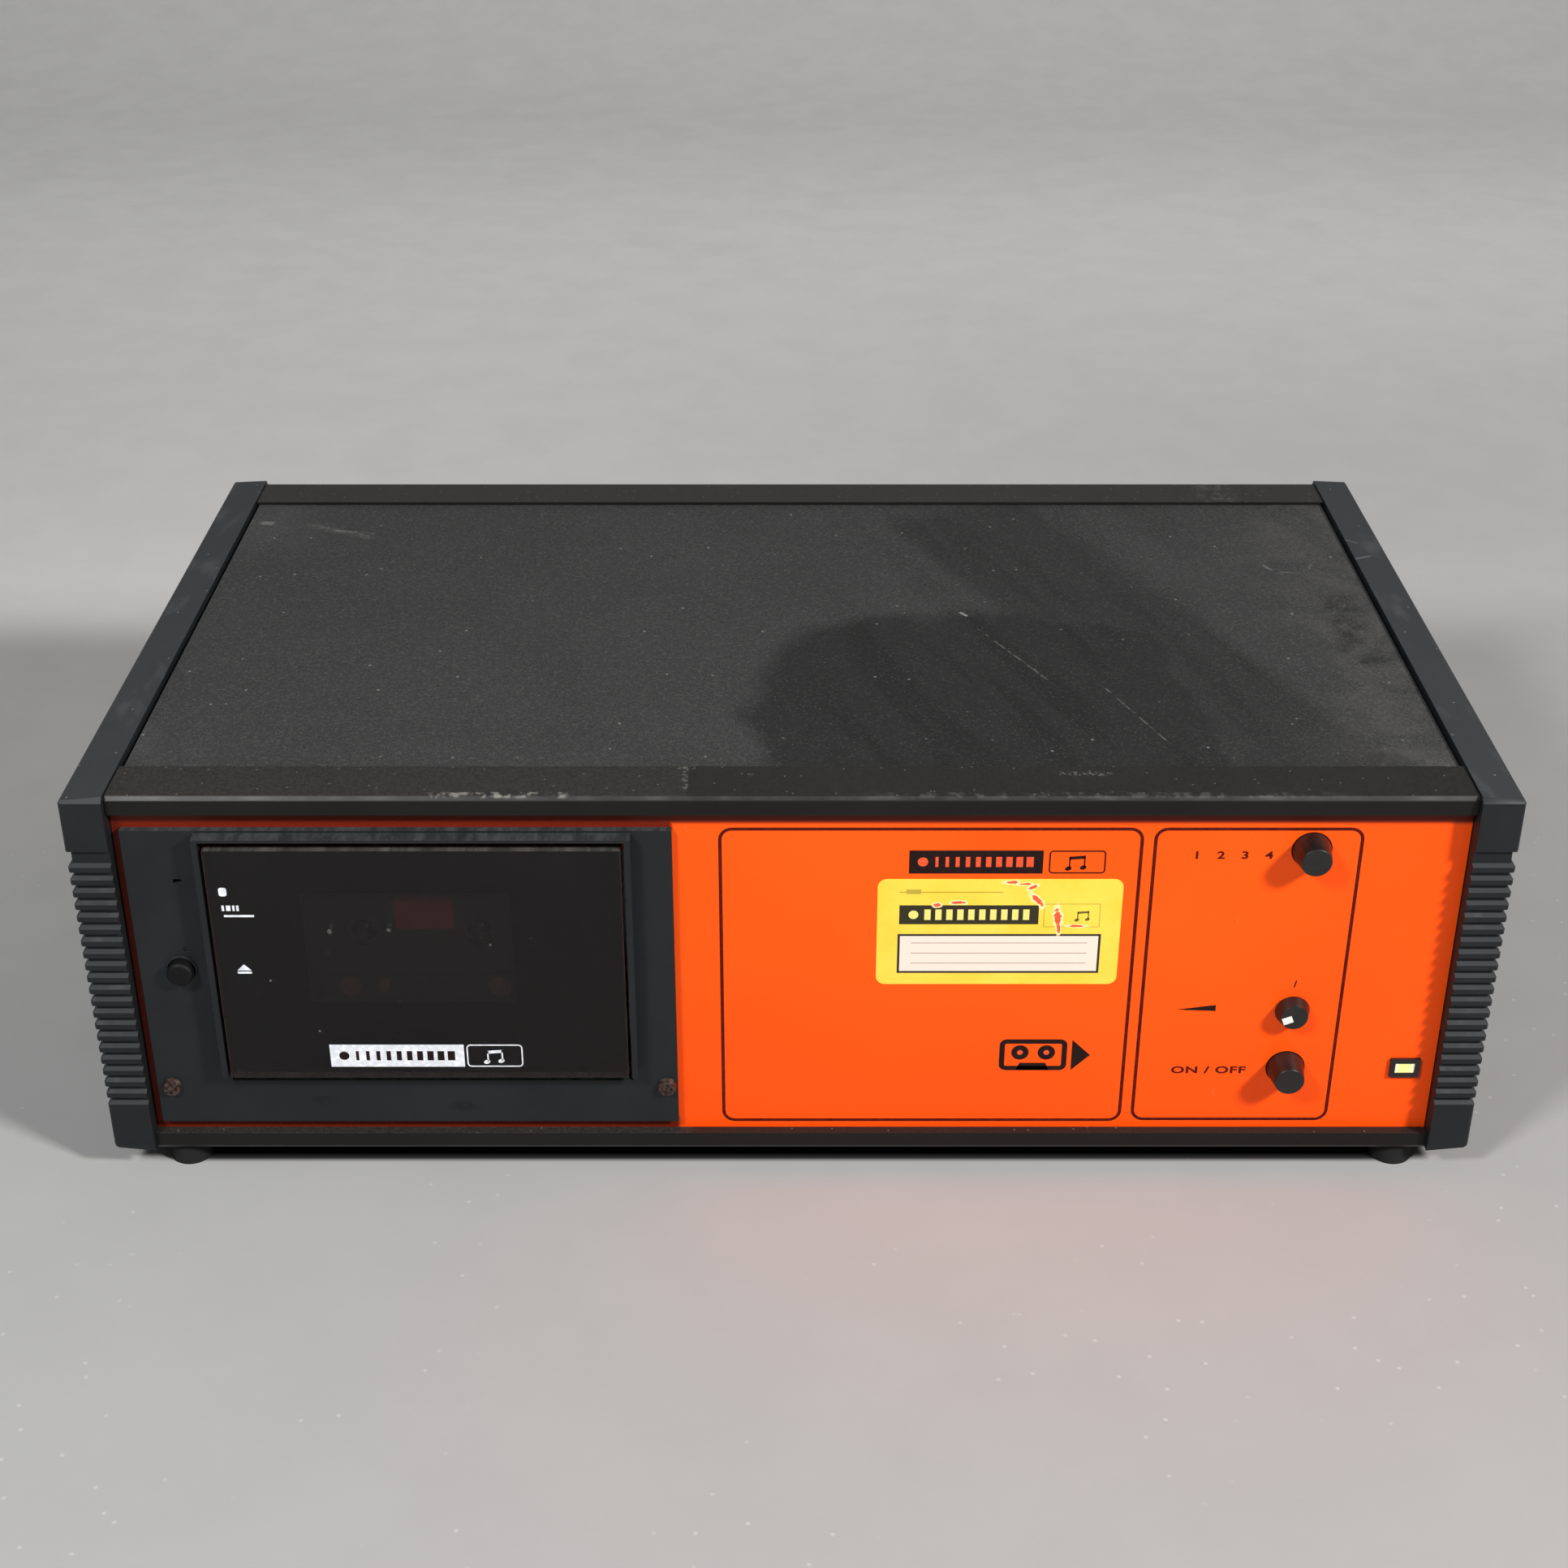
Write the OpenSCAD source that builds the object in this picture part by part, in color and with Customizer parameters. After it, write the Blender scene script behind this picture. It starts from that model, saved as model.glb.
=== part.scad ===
// Cassette player and amplifier in a ribbed table-top case, front towards -Y, feet on Z = 0.
// Pieces are drawn in the case frame: X to the right, Y back from the front plane of the cheeks, Z up.

/* [Case] */
// Overall width across the two side cheeks
case_w = 520; // [505:5:560]
// Depth of the side cheeks, front to back
case_d = 308; // [300:2:340]
// Thickness of a side cheek
cheek_t = 15.5; // [14:0.5:18]
// How far a cheek stands past the rails at the front and rear
cheek_reach = 2.8; // [2:0.2:4]
// How far the inner edge of a cheek stands above the rails
cheek_rise = 0.8; // [0.4:0.2:2]
// How far the top and bottom of a cheek fall away towards its outer face
cheek_draft = 1; // [0.5:0.5:2]
// Number of ribs round each cheek
rib_count = 20; // [14:1:20]
// Depth of the grooves between the ribs
rib_depth = 1.6; // [1:0.2:2.4]
// Height of a rubber foot
foot_h = 10; // [8:1:16]
// Radius of a rubber foot
foot_r = 8; // [7:0.5:9]

/* [Rails and sheets] */
// Height of a rail
rail_h = 7.6; // [7.4:0.2:10]
// Depth of a rail, front to back
rail_d = 23.5; // [22:0.5:28]
// Depth of the lip in front of a panel
rail_lip = 4.1; // [3.5:0.1:5]
// Thickness of the front and rear panels
panel_t = 2; // [1.6:0.2:2.6]
// Thickness of the top and bottom covers
cover_t = 1.5; // [1.2:0.1:2]
// How far the covers lie below the faces of the rails
cover_sink = 1.5; // [1.2:0.1:2]
// How far a sheet reaches into its groove
sheet_grip = 2; // [1.5:0.5:2.5]

/* [Deck front] */
// Width of the deck's front plate to the left of the door
bezel_left = 28.8; // [27:0.2:40]
// Width of the front plate to the right of the door
bezel_right = 16.8; // [14:0.2:30]
// Height of the front plate below the door
bezel_below = 24.2; // [23:0.2:32]
// Height of the front plate above the door
bezel_above = 2; // [1.6:0.2:6]
// Thickness of the deck's front plate
bezel_t = 3; // [2.4:0.2:3.6]
// Gap between the left cheek and the front plate
bezel_gap = 3.5; // [2:0.5:8]
// Height of the front plate above the bottom rail
bezel_up = 4.8; // [3:0.2:6]
// Gap between the front plate and the top rail
bezel_top_gap = 6.8; // [6:0.2:16]
// Width of the smoked door
pane_w = 149.8; // [140:0.2:170]
// Height of the smoked door
pane_h = 99; // [96:0.5:110]
// Thickness of the smoked door
pane_t = 3.7; // [3:0.1:4]
// How far the door stands in front of the front plate
door_proud = 5.5; // [5:0.1:6]
// Radius of the eject button
eject_r = 4.9; // [4.4:0.1:5.2]

/* [Controls] */
// Distance of the control column from the right cheek
control_inset = 56.8; // [50:0.5:70]
// Distance of the track button below the top rail
track_down = 16.4; // [16:0.1:30]
// Height of the volume knob above the bottom rail
volume_up = 54; // [52:0.5:60]
// Height of the power button above the bottom rail
power_up = 28; // [24:0.5:29]
// Length of the track button in front of the panel
track_len = 9.6; // [6:0.1:10]
// Length of the power button in front of the panel
power_len = 9.8; // [9.5:0.1:12]
// Radius of the buttons and the knob where they meet the panel
control_r = 7.1; // [6:0.1:7.5]
// Length of the volume knob
volume_len = 5.2; // [4:0.1:7]
// Travel of the push buttons
press = 3; // [2:0.5:4]
// Width of the lamp's bezel
lamp_w = 11.2; // [10.6:0.2:13]
// Height of the lamp's bezel
lamp_h = 8.2; // [7.8:0.1:9.4]

/* [Mechanism] */
// Radius of a flywheel
flywheel_r = 23; // [20:0.5:24]
// Radius of a pinch roller
pinch_r = 6; // [5.5:0.1:6.3]
// Radius of the tape pack on the left reel
left_pack_r = 22; // [14:0.5:23]
// Radius of the tape pack on the right reel
right_pack_r = 17; // [14:0.5:19]
// Travel of the head plate between stop and play
head_lift = 10; // [9.5:0.1:10.4]

/* [Hidden] */
$fn = 64;

// Clearances
run_gap = 0.05;
slip_gap = 0.3;
groove_gap = 0.1;

// Front plate of the deck, and the opening between the rails that it sets
door_side_gap = 1.2;
door_top_gap = 3.2;
door_hole_w = pane_w + 2 * door_side_gap;
bezel_w = bezel_left + door_hole_w + bezel_right;
bezel_h = bezel_below + pane_h + door_top_gap + bezel_above;
opening_h = bezel_up + bezel_h + bezel_top_gap;

// Levels and planes of the case
inner_x = case_w / 2 - cheek_t;
open_z = foot_h + rail_h;
open_top = open_z + opening_h;
rails_top = open_top + rail_h;
rail_y = cheek_reach;
panel_y = rail_y + rail_lip;
panel_back = panel_y + panel_t;
rear_panel_in = case_d - panel_back;
rear_panel_out = case_d - panel_y;
bezel_y = panel_y - bezel_t;
floor_z = foot_h + cover_sink + cover_t;
front_reach = max(power_len, track_len) - panel_y;
case_front_y = -(case_d - front_reach) / 2;

// Cheek mouldings
cheek_lift = 0.5;
cheek_wall = 5;
corner_cut = 0.8;
lip_high = 2;
lip_deep = 1.9;
under_draft = cheek_draft + 1;
under_cut = 1.5;
under_high = 3.4;
under_deep = 1;
top_block_h = 21.7;
bottom_block_h = 22.6;
top_groove = 6.5;
pocket_inset = 30;
web_t = 3;
web_columns = 5;
web_rows = 3;
cheek_z0 = foot_h + cheek_lift;
cheek_z1 = rails_top + cheek_rise;
rib_low = cheek_z0 + bottom_block_h;
rib_high = cheek_z1 - top_block_h;
rib_pitch = (rib_high - top_groove - rib_low) / rib_count;
pocket_l = case_d - 2 * pocket_inset;
pocket_h = rib_high - rib_low;
rib_slope = 1;
rib_tip = 2.1;
rib_under = 0.5;

// Rails
leg_t = 7;
leg_h = 9;
rail_cut_y = 1.4;
rail_cut_z = 1.8;
cover_grip = 4;
screw_r = 2;
screw_len = 22;
screw_head_r = 3.8;
screw_head_t = 2.6;
screw_slot = 1;
cheek_bore_r = 2.25;
cheek_sink_r = 4.3;
cheek_sink = 5;
port_depth = 14;
port_y = rail_y + rail_d - leg_t / 2;
port_up = rail_h + leg_h / 2;
foot_y = (panel_back + rail_y + rail_d - leg_t) / 2;
foot_inset = 2;
foot_x = inner_x - foot_r - foot_inset;
foot_bore_r = 2.2;
foot_sink_r = 4.4;
foot_sink = foot_h * 0.6;
foot_screw_r = 1.9;
foot_thread = 6;

// Covers
cover_edge_gap = 1.2;
cover_flange = 10;
vent_w = 3;
vent_l = 40;
vent_pitch = 8;
vent_margin = 24;
rear_vent_l = 30;
rear_vent_drop = 55;
rear_vents = 5;
boss_r = 3.5;
boss_h = 8;
boss_bore_r = 1.3;

// Deck front
bezel_x0 = -inner_x + bezel_gap;
bezel_x1 = bezel_x0 + bezel_w;
bezel_z0 = open_z + bezel_up;
deck_x = bezel_x0 + bezel_left + door_hole_w / 2;
pane_z0 = bezel_z0 + bezel_below;
pane_y = bezel_y - door_proud;
pane_back = pane_y + pane_t;
side_wall = 2.2;
top_wall = 1.2;
door_drop = 5;
door_hole_z0 = pane_z0 - door_drop;
door_hole_z1 = pane_z0 + pane_h + door_top_gap;
cutout_margin = 9.5;
eject_inset = 13.3;
eject_up = 45.1;
eject_x = bezel_x0 + bezel_left - eject_inset;
eject_z = pane_z0 + eject_up;
eject_collar_t = 0.7;
eject_collar_h = 0.5;
eject_proud = 4.5;
eject_bevel = 0.9;
bezel_screw_in_left = 5.5;
bezel_screw_in_right = 4.1;
bezel_screw_up = 16.4;
bezel_screw_left = bezel_x0 + bezel_screw_in_left;
bezel_screw_right = bezel_x1 - bezel_screw_in_right;
bezel_screw_z = bezel_z0 + bezel_screw_up;
bezel_screw_r = 1.5;
bezel_head_r = 3.9;
bezel_head_t = 1.9;
slot_shift = 2.9;
slot_rise = 38.1;
slot_x = eject_x + slot_shift;
slot_z = eject_z + slot_rise;
slot_w = 3;
slot_h = 1.8;
dimple_rise = 8.9;
dimple_z = eject_z + dimple_rise;
dimple_r = 1.2;

// Deck works: planes from the door back to the flywheels
hook_t = 2;
cassette_w = 100.4;
cassette_h = 63.8;
cassette_t = 8.7;
cassette_edge_t = 12;
cassette_wall = 1;
cassette_rim = 2;
shell_split = 0.05;
pack_gap = 0.7;
hub_sink = 0.2;
head_bay_h = 13;
bay_gap = 0.6;
head_bay_side = 2;
roller_bay_side = 3;
capstan_hole_r = 4;
edge_h = 16;
edge_top_w = 72;
edge_bottom_w = 80;
cassette_up = 25.8;
cassette_gap = 0.6;
cassette_z = pane_z0 + cassette_up;
cassette_y = pane_back + hook_t + cassette_gap + cassette_edge_t / 2;
hub_apart = 42.5;
hub_up = 34.8;
hub_z = cassette_z + hub_up;
capstan_apart = 55.3;
capstan_up = 10.5;
capstan_z = cassette_z + capstan_up;
chassis_gap = 3.3;
chassis_y = cassette_y + cassette_edge_t / 2 + chassis_gap;
chassis_t = 1.5;
chassis_back = chassis_y + chassis_t;
chassis_bottom_gap = 0.5;
chassis_top_gap = 3;
chassis_z0 = bezel_z0 + cutout_margin + chassis_bottom_gap;
chassis_z1 = open_top - leg_h - chassis_top_gap;
holder_flange_gap = 1.3;
chassis_in = pane_w / 2 + holder_flange_gap;
chassis_side_h = 60;
chassis_eject_margin = 6;
guide_head_t = 1;
pivot_in = 3.6;
pivot_drop = 1.2;
pivot_y = bezel_y + bezel_t + pivot_in;
pivot_z = pane_z0 - pivot_drop;
pivot_r = 2.5;
lever_gap = 0.5;
lever_y = cassette_y + cassette_edge_t / 2 + lever_gap;
lever_t = 1.5;
window_w = 74.4;
window_h = 45.7;
window_shift = 4.2;
window_up = 32.6;
window_x = deck_x - window_shift;
window_z = pane_z0 + window_up;

// Cassette holder
holder_t = 1.5;
channel_gap = 0.3;
channel_lip = 6;
holder_up = 2.3;
holder_z0 = pane_z0 + holder_up;
ear_r = 4.5;
ear_h = 40;
channel_share = 0.85;

// Reels and spindles
hub_bore_r = 4.9;
hub_collar_r = 5.9;
hub_r = 11;
hub_tooth = 1.2;
tooth_r = 4;
hub_t = 5;
tape_t = 3.8;
spindle_core_r = 2.6;
spindle_fin_r = 4.4;
spindle_disc_r = 6.5;
spindle_shaft_r = 2;
spindle_reach = 8;
spindle_disc_t = 2;
spindle_nose = 1.5;
disc_gap = 0.6;
reel_pulley_r = 9;
reel_pulley_t = 4;
reel_belt_w = 2;

// Capstans, flywheels and motor
capstan_r = 1.1;
capstan_reach = 9.2;
bearing_r = 3.2;
bearing_flange_r = 4;
bearing_flange_t = 0.7;
bearing_len = 18;
boss_drive_r = 5;
motor_r = 15;
motor_l = 22;
motor_drop = 33.5;
motor_z = capstan_z - motor_drop;
motor_shaft_r = 1;
motor_nose_r = 3;
motor_shaft_in = 2;
pulley_rim = 0.5;
pulley_r = 5;
belt_t = 1.2;
belt_w = 3;
bearing_end = chassis_back + bearing_len;
reel_belt_y = bearing_end + slip_gap;
flywheel_t = 8;
flywheel_rim = 5;
flywheel_dish = 3;
flywheel_gap = 1;
flywheel_y = reel_belt_y + reel_pulley_t + flywheel_gap;
belt_y = flywheel_y + (flywheel_t - belt_w) / 2;

// Head plate and pinch arms
head_gap = 1;
head_top = cassette_z - head_gap;
head_w = 13;
head_t = 6.2;
head_h = 12;
head_shelf_t = 1.5;
head_shoulder = 2;
plate_w = 36;
plate_drop = 30;
guide_r = 1.5;
guide_head_r = 2.6;
guide_apart = 20;
guide_gap = 0.1;
guide_drop = 9;
guide_z = head_top - head_h - guide_drop;
roller_w = 5;
roller_rest_z = cassette_z - head_gap - pinch_r;
roller_axle_r = 1;
fork_t = 0.8;
fork_w = 6;
fork_gap = 0.7;
fork_drop = pinch_r + fork_gap;
fork_base_t = 1.5;
arm_len = 24;
arm_angle = asin(head_lift / 2 / arm_len);
arm_pivot_z = roller_rest_z + head_lift / 2;
arm_pivot_off = capstan_apart / 2 + arm_len * cos(arm_angle);
arm_pin_r = 1.5;
arm_boss_r = 3.5;
arm_w = 5;

// Eject works
eject_skirt = 5;
eject_stem_r = 2;
eject_stem_end = 4;
spring_wire = 0.5;
spring_turns = 6;
spring_sides = 8;
spring_steps = 12;

// Controls
control_x = inner_x - control_inset;
track_up = opening_h - track_down;
button_taper = 1.6;
button_skirt = 4;
stud_len = 16;
board_y = panel_back + stud_len;
board_t = 1.6;
switch_w = 13;
stem_r = 2;
stem_in = 4;
switch_y = panel_y + button_skirt + press + slip_gap;
pot_r = 8;
pot_bush_r = 3.5;
pot_shaft_r = 3;
pot_shaft_in = 8;
pot_bush_y = panel_y - 1.2;
bush_gap = 0.8;
knob_gap = 0.4;
knob_r = control_r - 0.6;
knob_taper = 1.5;
shaft_y = panel_y - volume_len + 1.2;
pointer_w = 2.8;
pointer_l = 3.8;
pointer_t = 0.4;
pointer_in = 0.8;
pointer_angle = -111;
lamp_inset = 11.5;
lamp_up = 28.2;
lamp_x = inner_x - lamp_inset;
lamp_z = open_z + lamp_up;
lamp_rim = 1.9;
lamp_proud = 1.2;
lamp_depth = 10;
lamp_lip = 0.5;
lens_sink = 0.4;
lens_t = 7;
stud_r = 3;
stud_tip_r = 1.4;
board_w = 70;
board_shift = 14;
board_z0 = open_z + leg_h + 1;
board_z1 = open_top - leg_h - 1;
board_x = control_x + board_shift;
board_inset = 6;

// Amplifier
amp_inset = 174.5;
amp_x = amp_inset - inner_x;
amp_rear = 113;
amp_y = case_d - amp_rear;
amp_w = 170;
amp_d = 110;
cap_r = 15;
cap_h = 45;
cap_gap = 6;
transformer_inset = 95;
mains_inset = 94.5;
mains_x = inner_x - mains_inset;
mains_y = case_d - transformer_inset;
mains_core = [84, 35, 70];
line_inset = 189.5;
line_x = inner_x - line_inset;
line_y = case_d - transformer_inset;
line_core = [66, 25, 55];
frame_t = 2;
frame_margin = 8;
frame_bite = 0.5;
sink_w = 130;
sink_h = 75;
sink_base = 5;
sink_fin = 25;
sink_fin_t = 3;
sink_pitch = 9;
sink_flat = 44;
sink_inset = 134.5;
sink_x = sink_inset - inner_x;
device_r = 12.5;
device_h = 8;
device_flange_t = 2;
device_margin = 2;
inlet_inset = 54.5;
inlet_x = inner_x - inlet_inset;
inlet_z = 45;
inlet_hole = [24, 16];
inlet_depth = 16;
inlet_wall = 1.6;
inlet_flange = [50, 24];
inlet_flange_t = 3;
pin_len = 9;
pin_size = [4, 2];
pin_points = [[-7, -2], [7, -2], [0, 2]];
terminal_inset = 184.5;
terminal_x = inner_x - terminal_inset;
terminal_z = 60;
terminal_count = 5;
terminal_pitch = 11;
terminal_deep = 5.5;
terminal_h = 18;
terminal_cell = [8, 12];
terminal_floor = 2.5;
terminal_screw_r = 3;
terminal_screw_t = 2.2;
socket_x = -20;
socket_z = 60;
socket_pitch = 30;
socket_count = 3;
socket_r = 7.5;
socket_flange_r = 11;
socket_flange_t = 1.5;
socket_l = 12;
socket_pin_r = 0.8;
socket_ring_r = 5;
socket_pin_l = 6;
sink_z = socket_z + socket_flange_r;

module in_case() {
  translate([0, case_front_y, 0]) children();
}

module mirror_rear() {
  translate([0, case_d, 0]) mirror([0, 1, 0]) children();
}

// A cylinder that runs back along Y from a point
module along_y(r, length, end_r = -1) {
  rotate([-90, 0, 0]) cylinder(r1 = r, r2 = end_r < 0 ? r : end_r, h = length);
}

// A rod that runs along X from a point
module along_x(r, length) {
  rotate([0, 90, 0]) cylinder(r = r, h = length);
}

// An outline in X and Z, given depth along Y
module wall_y(depth) {
  translate([0, depth, 0]) rotate([90, 0, 0]) linear_extrude(depth) children();
}

// An outline in Y and Z, given width along X
module wall_x(width) {
  rotate([90, 0, 90]) linear_extrude(width) children();
}

// Cheeks

// One tooth of the ribbed edge, drawn with the face towards +X
function rib_tooth(low) = [
  [-rib_depth, low + rib_slope],
  [-rib_depth, low + rib_pitch - rib_tip - rib_under],
  [0, low + rib_pitch - rib_tip],
  [0, low + rib_pitch]
];

function ribbed_side() = concat(
  [[0, rib_low]],
  [for (k = [0 : rib_count - 1]) each rib_tooth(rib_low + k * rib_pitch)],
  [
    [-rib_depth, rib_high - top_groove + rib_slope],
    [-rib_depth, rib_high - rib_under],
    [0, rib_high]
  ]
);

// Front view of the right cheek from its inner face at X = 0 out to X = cheek_t
module cheek_front_outline() {
  polygon(concat(
    [[0, cheek_z0], [cheek_t - under_cut, cheek_z0 + under_draft]],
    [[cheek_t, cheek_z0 + under_draft + under_cut]],
    [for (p = ribbed_side()) [cheek_t + p[0], p[1]]],
    [[cheek_t, cheek_z1 - cheek_draft - corner_cut]],
    [[cheek_t - corner_cut, cheek_z1 - cheek_draft], [0, cheek_z1]]
  ));
}

// Side view of a cheek, front towards -Y, with ribs down the front and rear
module cheek_side_outline() {
  polygon(concat(
    [[under_deep, cheek_z0], [case_d - under_deep, cheek_z0]],
    [[case_d, cheek_z0 + under_high]],
    [for (p = ribbed_side()) [case_d + p[0], p[1]]],
    [[case_d, cheek_z1 - lip_high], [case_d - lip_deep, cheek_z1]],
    [[lip_deep, cheek_z1], [0, cheek_z1 - lip_high]],
    [for (i = [len(ribbed_side()) - 1 : -1 : 0]) [-ribbed_side()[i][0], ribbed_side()[i][1]]],
    [[0, cheek_z0 + under_high]]
  ));
}

// Plan of a cheek with its two outer corners taken off
module cheek_plan() {
  polygon([
    [0, 0], [cheek_t - corner_cut, 0], [cheek_t, corner_cut],
    [cheek_t, case_d - corner_cut], [cheek_t - corner_cut, case_d], [0, case_d]
  ]);
}

function port_points() = [
  for (y = [port_y, case_d - port_y], z = [foot_h + port_up, rails_top - port_up]) [y, z]
];

module cheek() {
  difference() {
    intersection() {
      wall_y(case_d) cheek_front_outline();
      wall_x(cheek_t) cheek_side_outline();
      translate([0, 0, cheek_z0]) linear_extrude(cheek_z1 - cheek_z0) cheek_plan();
    }
    difference() {
      translate([-1, pocket_inset, rib_low])
        cube([cheek_t - cheek_wall + 1, pocket_l, pocket_h]);
      for (k = [1 : web_columns - 1])
        translate([-2, pocket_inset + k * pocket_l / web_columns - web_t / 2, rib_low - 1])
          cube([cheek_t, web_t, pocket_h + 2]);
      for (k = [1 : web_rows - 1])
        translate([-2, pocket_inset - 1, rib_low + k * pocket_h / web_rows - web_t / 2])
          cube([cheek_t, pocket_l + 2, web_t]);
    }
    for (p = port_points()) translate([0, p[0], p[1]]) {
      translate([-1, 0, 0]) along_x(cheek_bore_r, cheek_t + 2);
      translate([cheek_t - cheek_sink, 0, 0]) along_x(cheek_sink_r, cheek_sink + 1);
    }
  }
}

module right_cheek() {
  color("#2b2f31") translate([inner_x, 0, 0]) cheek();
}

module left_cheek() {
  color("#2b2f31") mirror([1, 0, 0]) translate([inner_x, 0, 0]) cheek();
}

// Screws through the cheeks into the ends of the rails
module cheek_screws() {
  head_x = inner_x + cheek_t - cheek_sink;
  color("#55585a") for (side = [0, 1], p = port_points())
    mirror([side, 0, 0]) translate([head_x, p[0], p[1]]) {
      difference() {
        along_x(screw_head_r, screw_head_t);
        for (turn = [0, 90]) rotate([turn, 0, 0])
          translate([screw_head_t - screw_slot, -screw_slot / 2, -screw_head_r * 0.6])
            cube([screw_head_t, screw_slot, screw_head_r * 1.2]);
      }
      translate([-screw_len, 0, 0]) along_x(screw_r, screw_len + 0.5);
    }
}

// Rails

// Section of the bottom front rail in Y and Z, its front face at Y = rail_y
module rail_section() {
  back = rail_y + rail_d;
  slot_back = panel_back + groove_gap;
  groove_z = open_z - sheet_grip - slip_gap;
  cover_z = foot_h + cover_sink;
  polygon([
    [rail_y + rail_cut_y, foot_h], [back, foot_h],
    [back, cover_z], [back - cover_grip, cover_z],
    [back - cover_grip, cover_z + cover_t + groove_gap], [back, cover_z + cover_t + groove_gap],
    [back, open_z + leg_h], [back - leg_t, open_z + leg_h], [back - leg_t, open_z],
    [slot_back, open_z], [slot_back, groove_z], [panel_y, groove_z], [panel_y, open_z],
    [rail_y, open_z], [rail_y, foot_h + rail_cut_z]
  ]);
}

module rail() {
  difference() {
    translate([-inner_x, 0, 0]) wall_x(2 * inner_x) rail_section();
    for (side = [0, 1]) mirror([side, 0, 0])
      translate([inner_x - port_depth, port_y, foot_h + port_up]) along_x(screw_r, port_depth + 1);
  }
}

module bottom_rail() {
  difference() {
    rail();
    for (side = [-1, 1]) translate([side * foot_x, foot_y, foot_h - 1])
      cylinder(r = foot_screw_r, h = foot_thread + 1);
  }
}

module flip_rail() {
  translate([0, 0, foot_h + rails_top]) mirror([0, 0, 1]) rail();
}

module front_bottom_rail() {
  color("#26251f") bottom_rail();
}

module rear_bottom_rail() {
  color("#26251f") mirror_rear() bottom_rail();
}

module front_top_rail() {
  color("#26251f") flip_rail();
}

module rear_top_rail() {
  color("#26251f") mirror_rear() flip_rail();
}

// Sheets

module cover_sheet(z, up) {
  grip = cover_grip - slip_gap;
  y0 = rail_y + rail_d - grip;
  width = inner_x - cover_edge_gap;
  translate([-width, y0, z]) cube([2 * width, case_d - 2 * y0, cover_t]);
  flange_y = rail_y + rail_d + 1;
  flange_z = up ? z + cover_t : z - cover_flange;
  for (side = [0, 1]) mirror([side, 0, 0])
    translate([width - cover_t, flange_y, flange_z])
      cube([cover_t, case_d - 2 * flange_y, cover_flange]);
}

module top_cover() {
  color("#3c3c3c") cover_sheet(rails_top - cover_sink - cover_t, false);
}

function board_corners(x, y, w, d, inset) = [
  for (sx = [-1, 1], sy = [-1, 1]) [x + sx * (w / 2 - inset), y + sy * (d / 2 - inset)]
];

// The floor of the case, with slots for air and bosses for the amplifier board
module bottom_cover() {
  color("#3c3c3c") difference() {
    union() {
      cover_sheet(foot_h + cover_sink, true);
      for (p = board_corners(amp_x, amp_y, amp_w, amp_d, board_inset))
        translate([p[0], p[1], floor_z]) cylinder(r = boss_r, h = boss_h);
    }
    for (p = board_corners(amp_x, amp_y, amp_w, amp_d, board_inset))
      translate([p[0], p[1], floor_z + 1]) cylinder(r = boss_bore_r, h = boss_h);
    for (x = [amp_x - amp_w / 2 + vent_margin : vent_pitch : amp_x + amp_w / 2 - vent_margin])
      translate([x, amp_y - vent_l / 2, foot_h]) cube([vent_w, vent_l, floor_z]);
  }
}

// Orange front sheet: cut out behind the deck, bored for the controls, with studs for the board
module front_panel() {
  width = inner_x - slip_gap;
  z0 = open_z - sheet_grip;
  color("#ff5f19") difference() {
    union() {
      translate([-width, panel_y, z0]) cube([2 * width, panel_t, opening_h + 2 * sheet_grip]);
      for (p = control_studs()) translate([p[0], panel_back, p[1]]) {
        along_y(stud_r, board_y - panel_back);
        along_y(stud_tip_r, board_y - panel_back + board_t);
      }
    }
    translate([bezel_x0 + cutout_margin, panel_y - 1, bezel_z0 + cutout_margin])
      cube([bezel_w - 2 * cutout_margin, panel_t + 2, bezel_h - 2 * cutout_margin]);
    for (x = [bezel_screw_left, bezel_screw_right])
      translate([x, panel_y - 1, bezel_screw_z]) along_y(bezel_screw_r, panel_t + 2);
    for (up = [track_up, power_up])
      translate([control_x, panel_y - 1, open_z + up]) along_y(control_r + slip_gap, panel_t + 2);
    translate([control_x, panel_y - 1, open_z + volume_up])
      along_y(pot_bush_r + slip_gap, panel_t + 2);
    lamp_hole();
  }
}

function control_studs() = [
  for (sx = [-1, 1], z = [board_z0 + board_inset, board_z1 - board_inset])
    [board_x + sx * (board_w / 2 - board_inset), z]
];

module lamp_hole() {
  w = lamp_w - 2 * lamp_lip;
  h = lamp_h - 2 * lamp_lip;
  translate([lamp_x - w / 2, panel_y - 1, lamp_z - h / 2]) cube([w, panel_t + 2, h]);
}

// Rear sheet: holes for the mains inlet and the sockets, and slots for air behind the heat sink
module rear_panel() {
  width = inner_x - slip_gap;
  z0 = open_z - sheet_grip;
  body = [inlet_hole[0] + 2 * inlet_wall, inlet_hole[1] + 2 * inlet_wall];
  color("#2e2e2e") difference() {
    translate([-width, rear_panel_in, z0])
      cube([2 * width, panel_t, opening_h + 2 * sheet_grip]);
    translate([inlet_x - body[0] / 2 - slip_gap, rear_panel_in - 1,
               inlet_z - body[1] / 2 - slip_gap])
      cube([body[0] + 2 * slip_gap, panel_t + 2, body[1] + 2 * slip_gap]);
    for (k = [0 : socket_count - 1])
      translate([socket_x - k * socket_pitch, rear_panel_in - 1, socket_z])
        along_y(socket_r + slip_gap, panel_t + 2);
    for (k = [0 : rear_vents - 1])
      translate([inlet_x + (k - rear_vents / 2) * vent_pitch, rear_panel_in - 1,
                 open_top - rear_vent_drop])
        cube([vent_w, panel_t + 2, rear_vent_l]);
  }
}

function foot_points() = [for (sx = [-1, 1], y = [foot_y, case_d - foot_y]) [sx * foot_x, y]];

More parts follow.
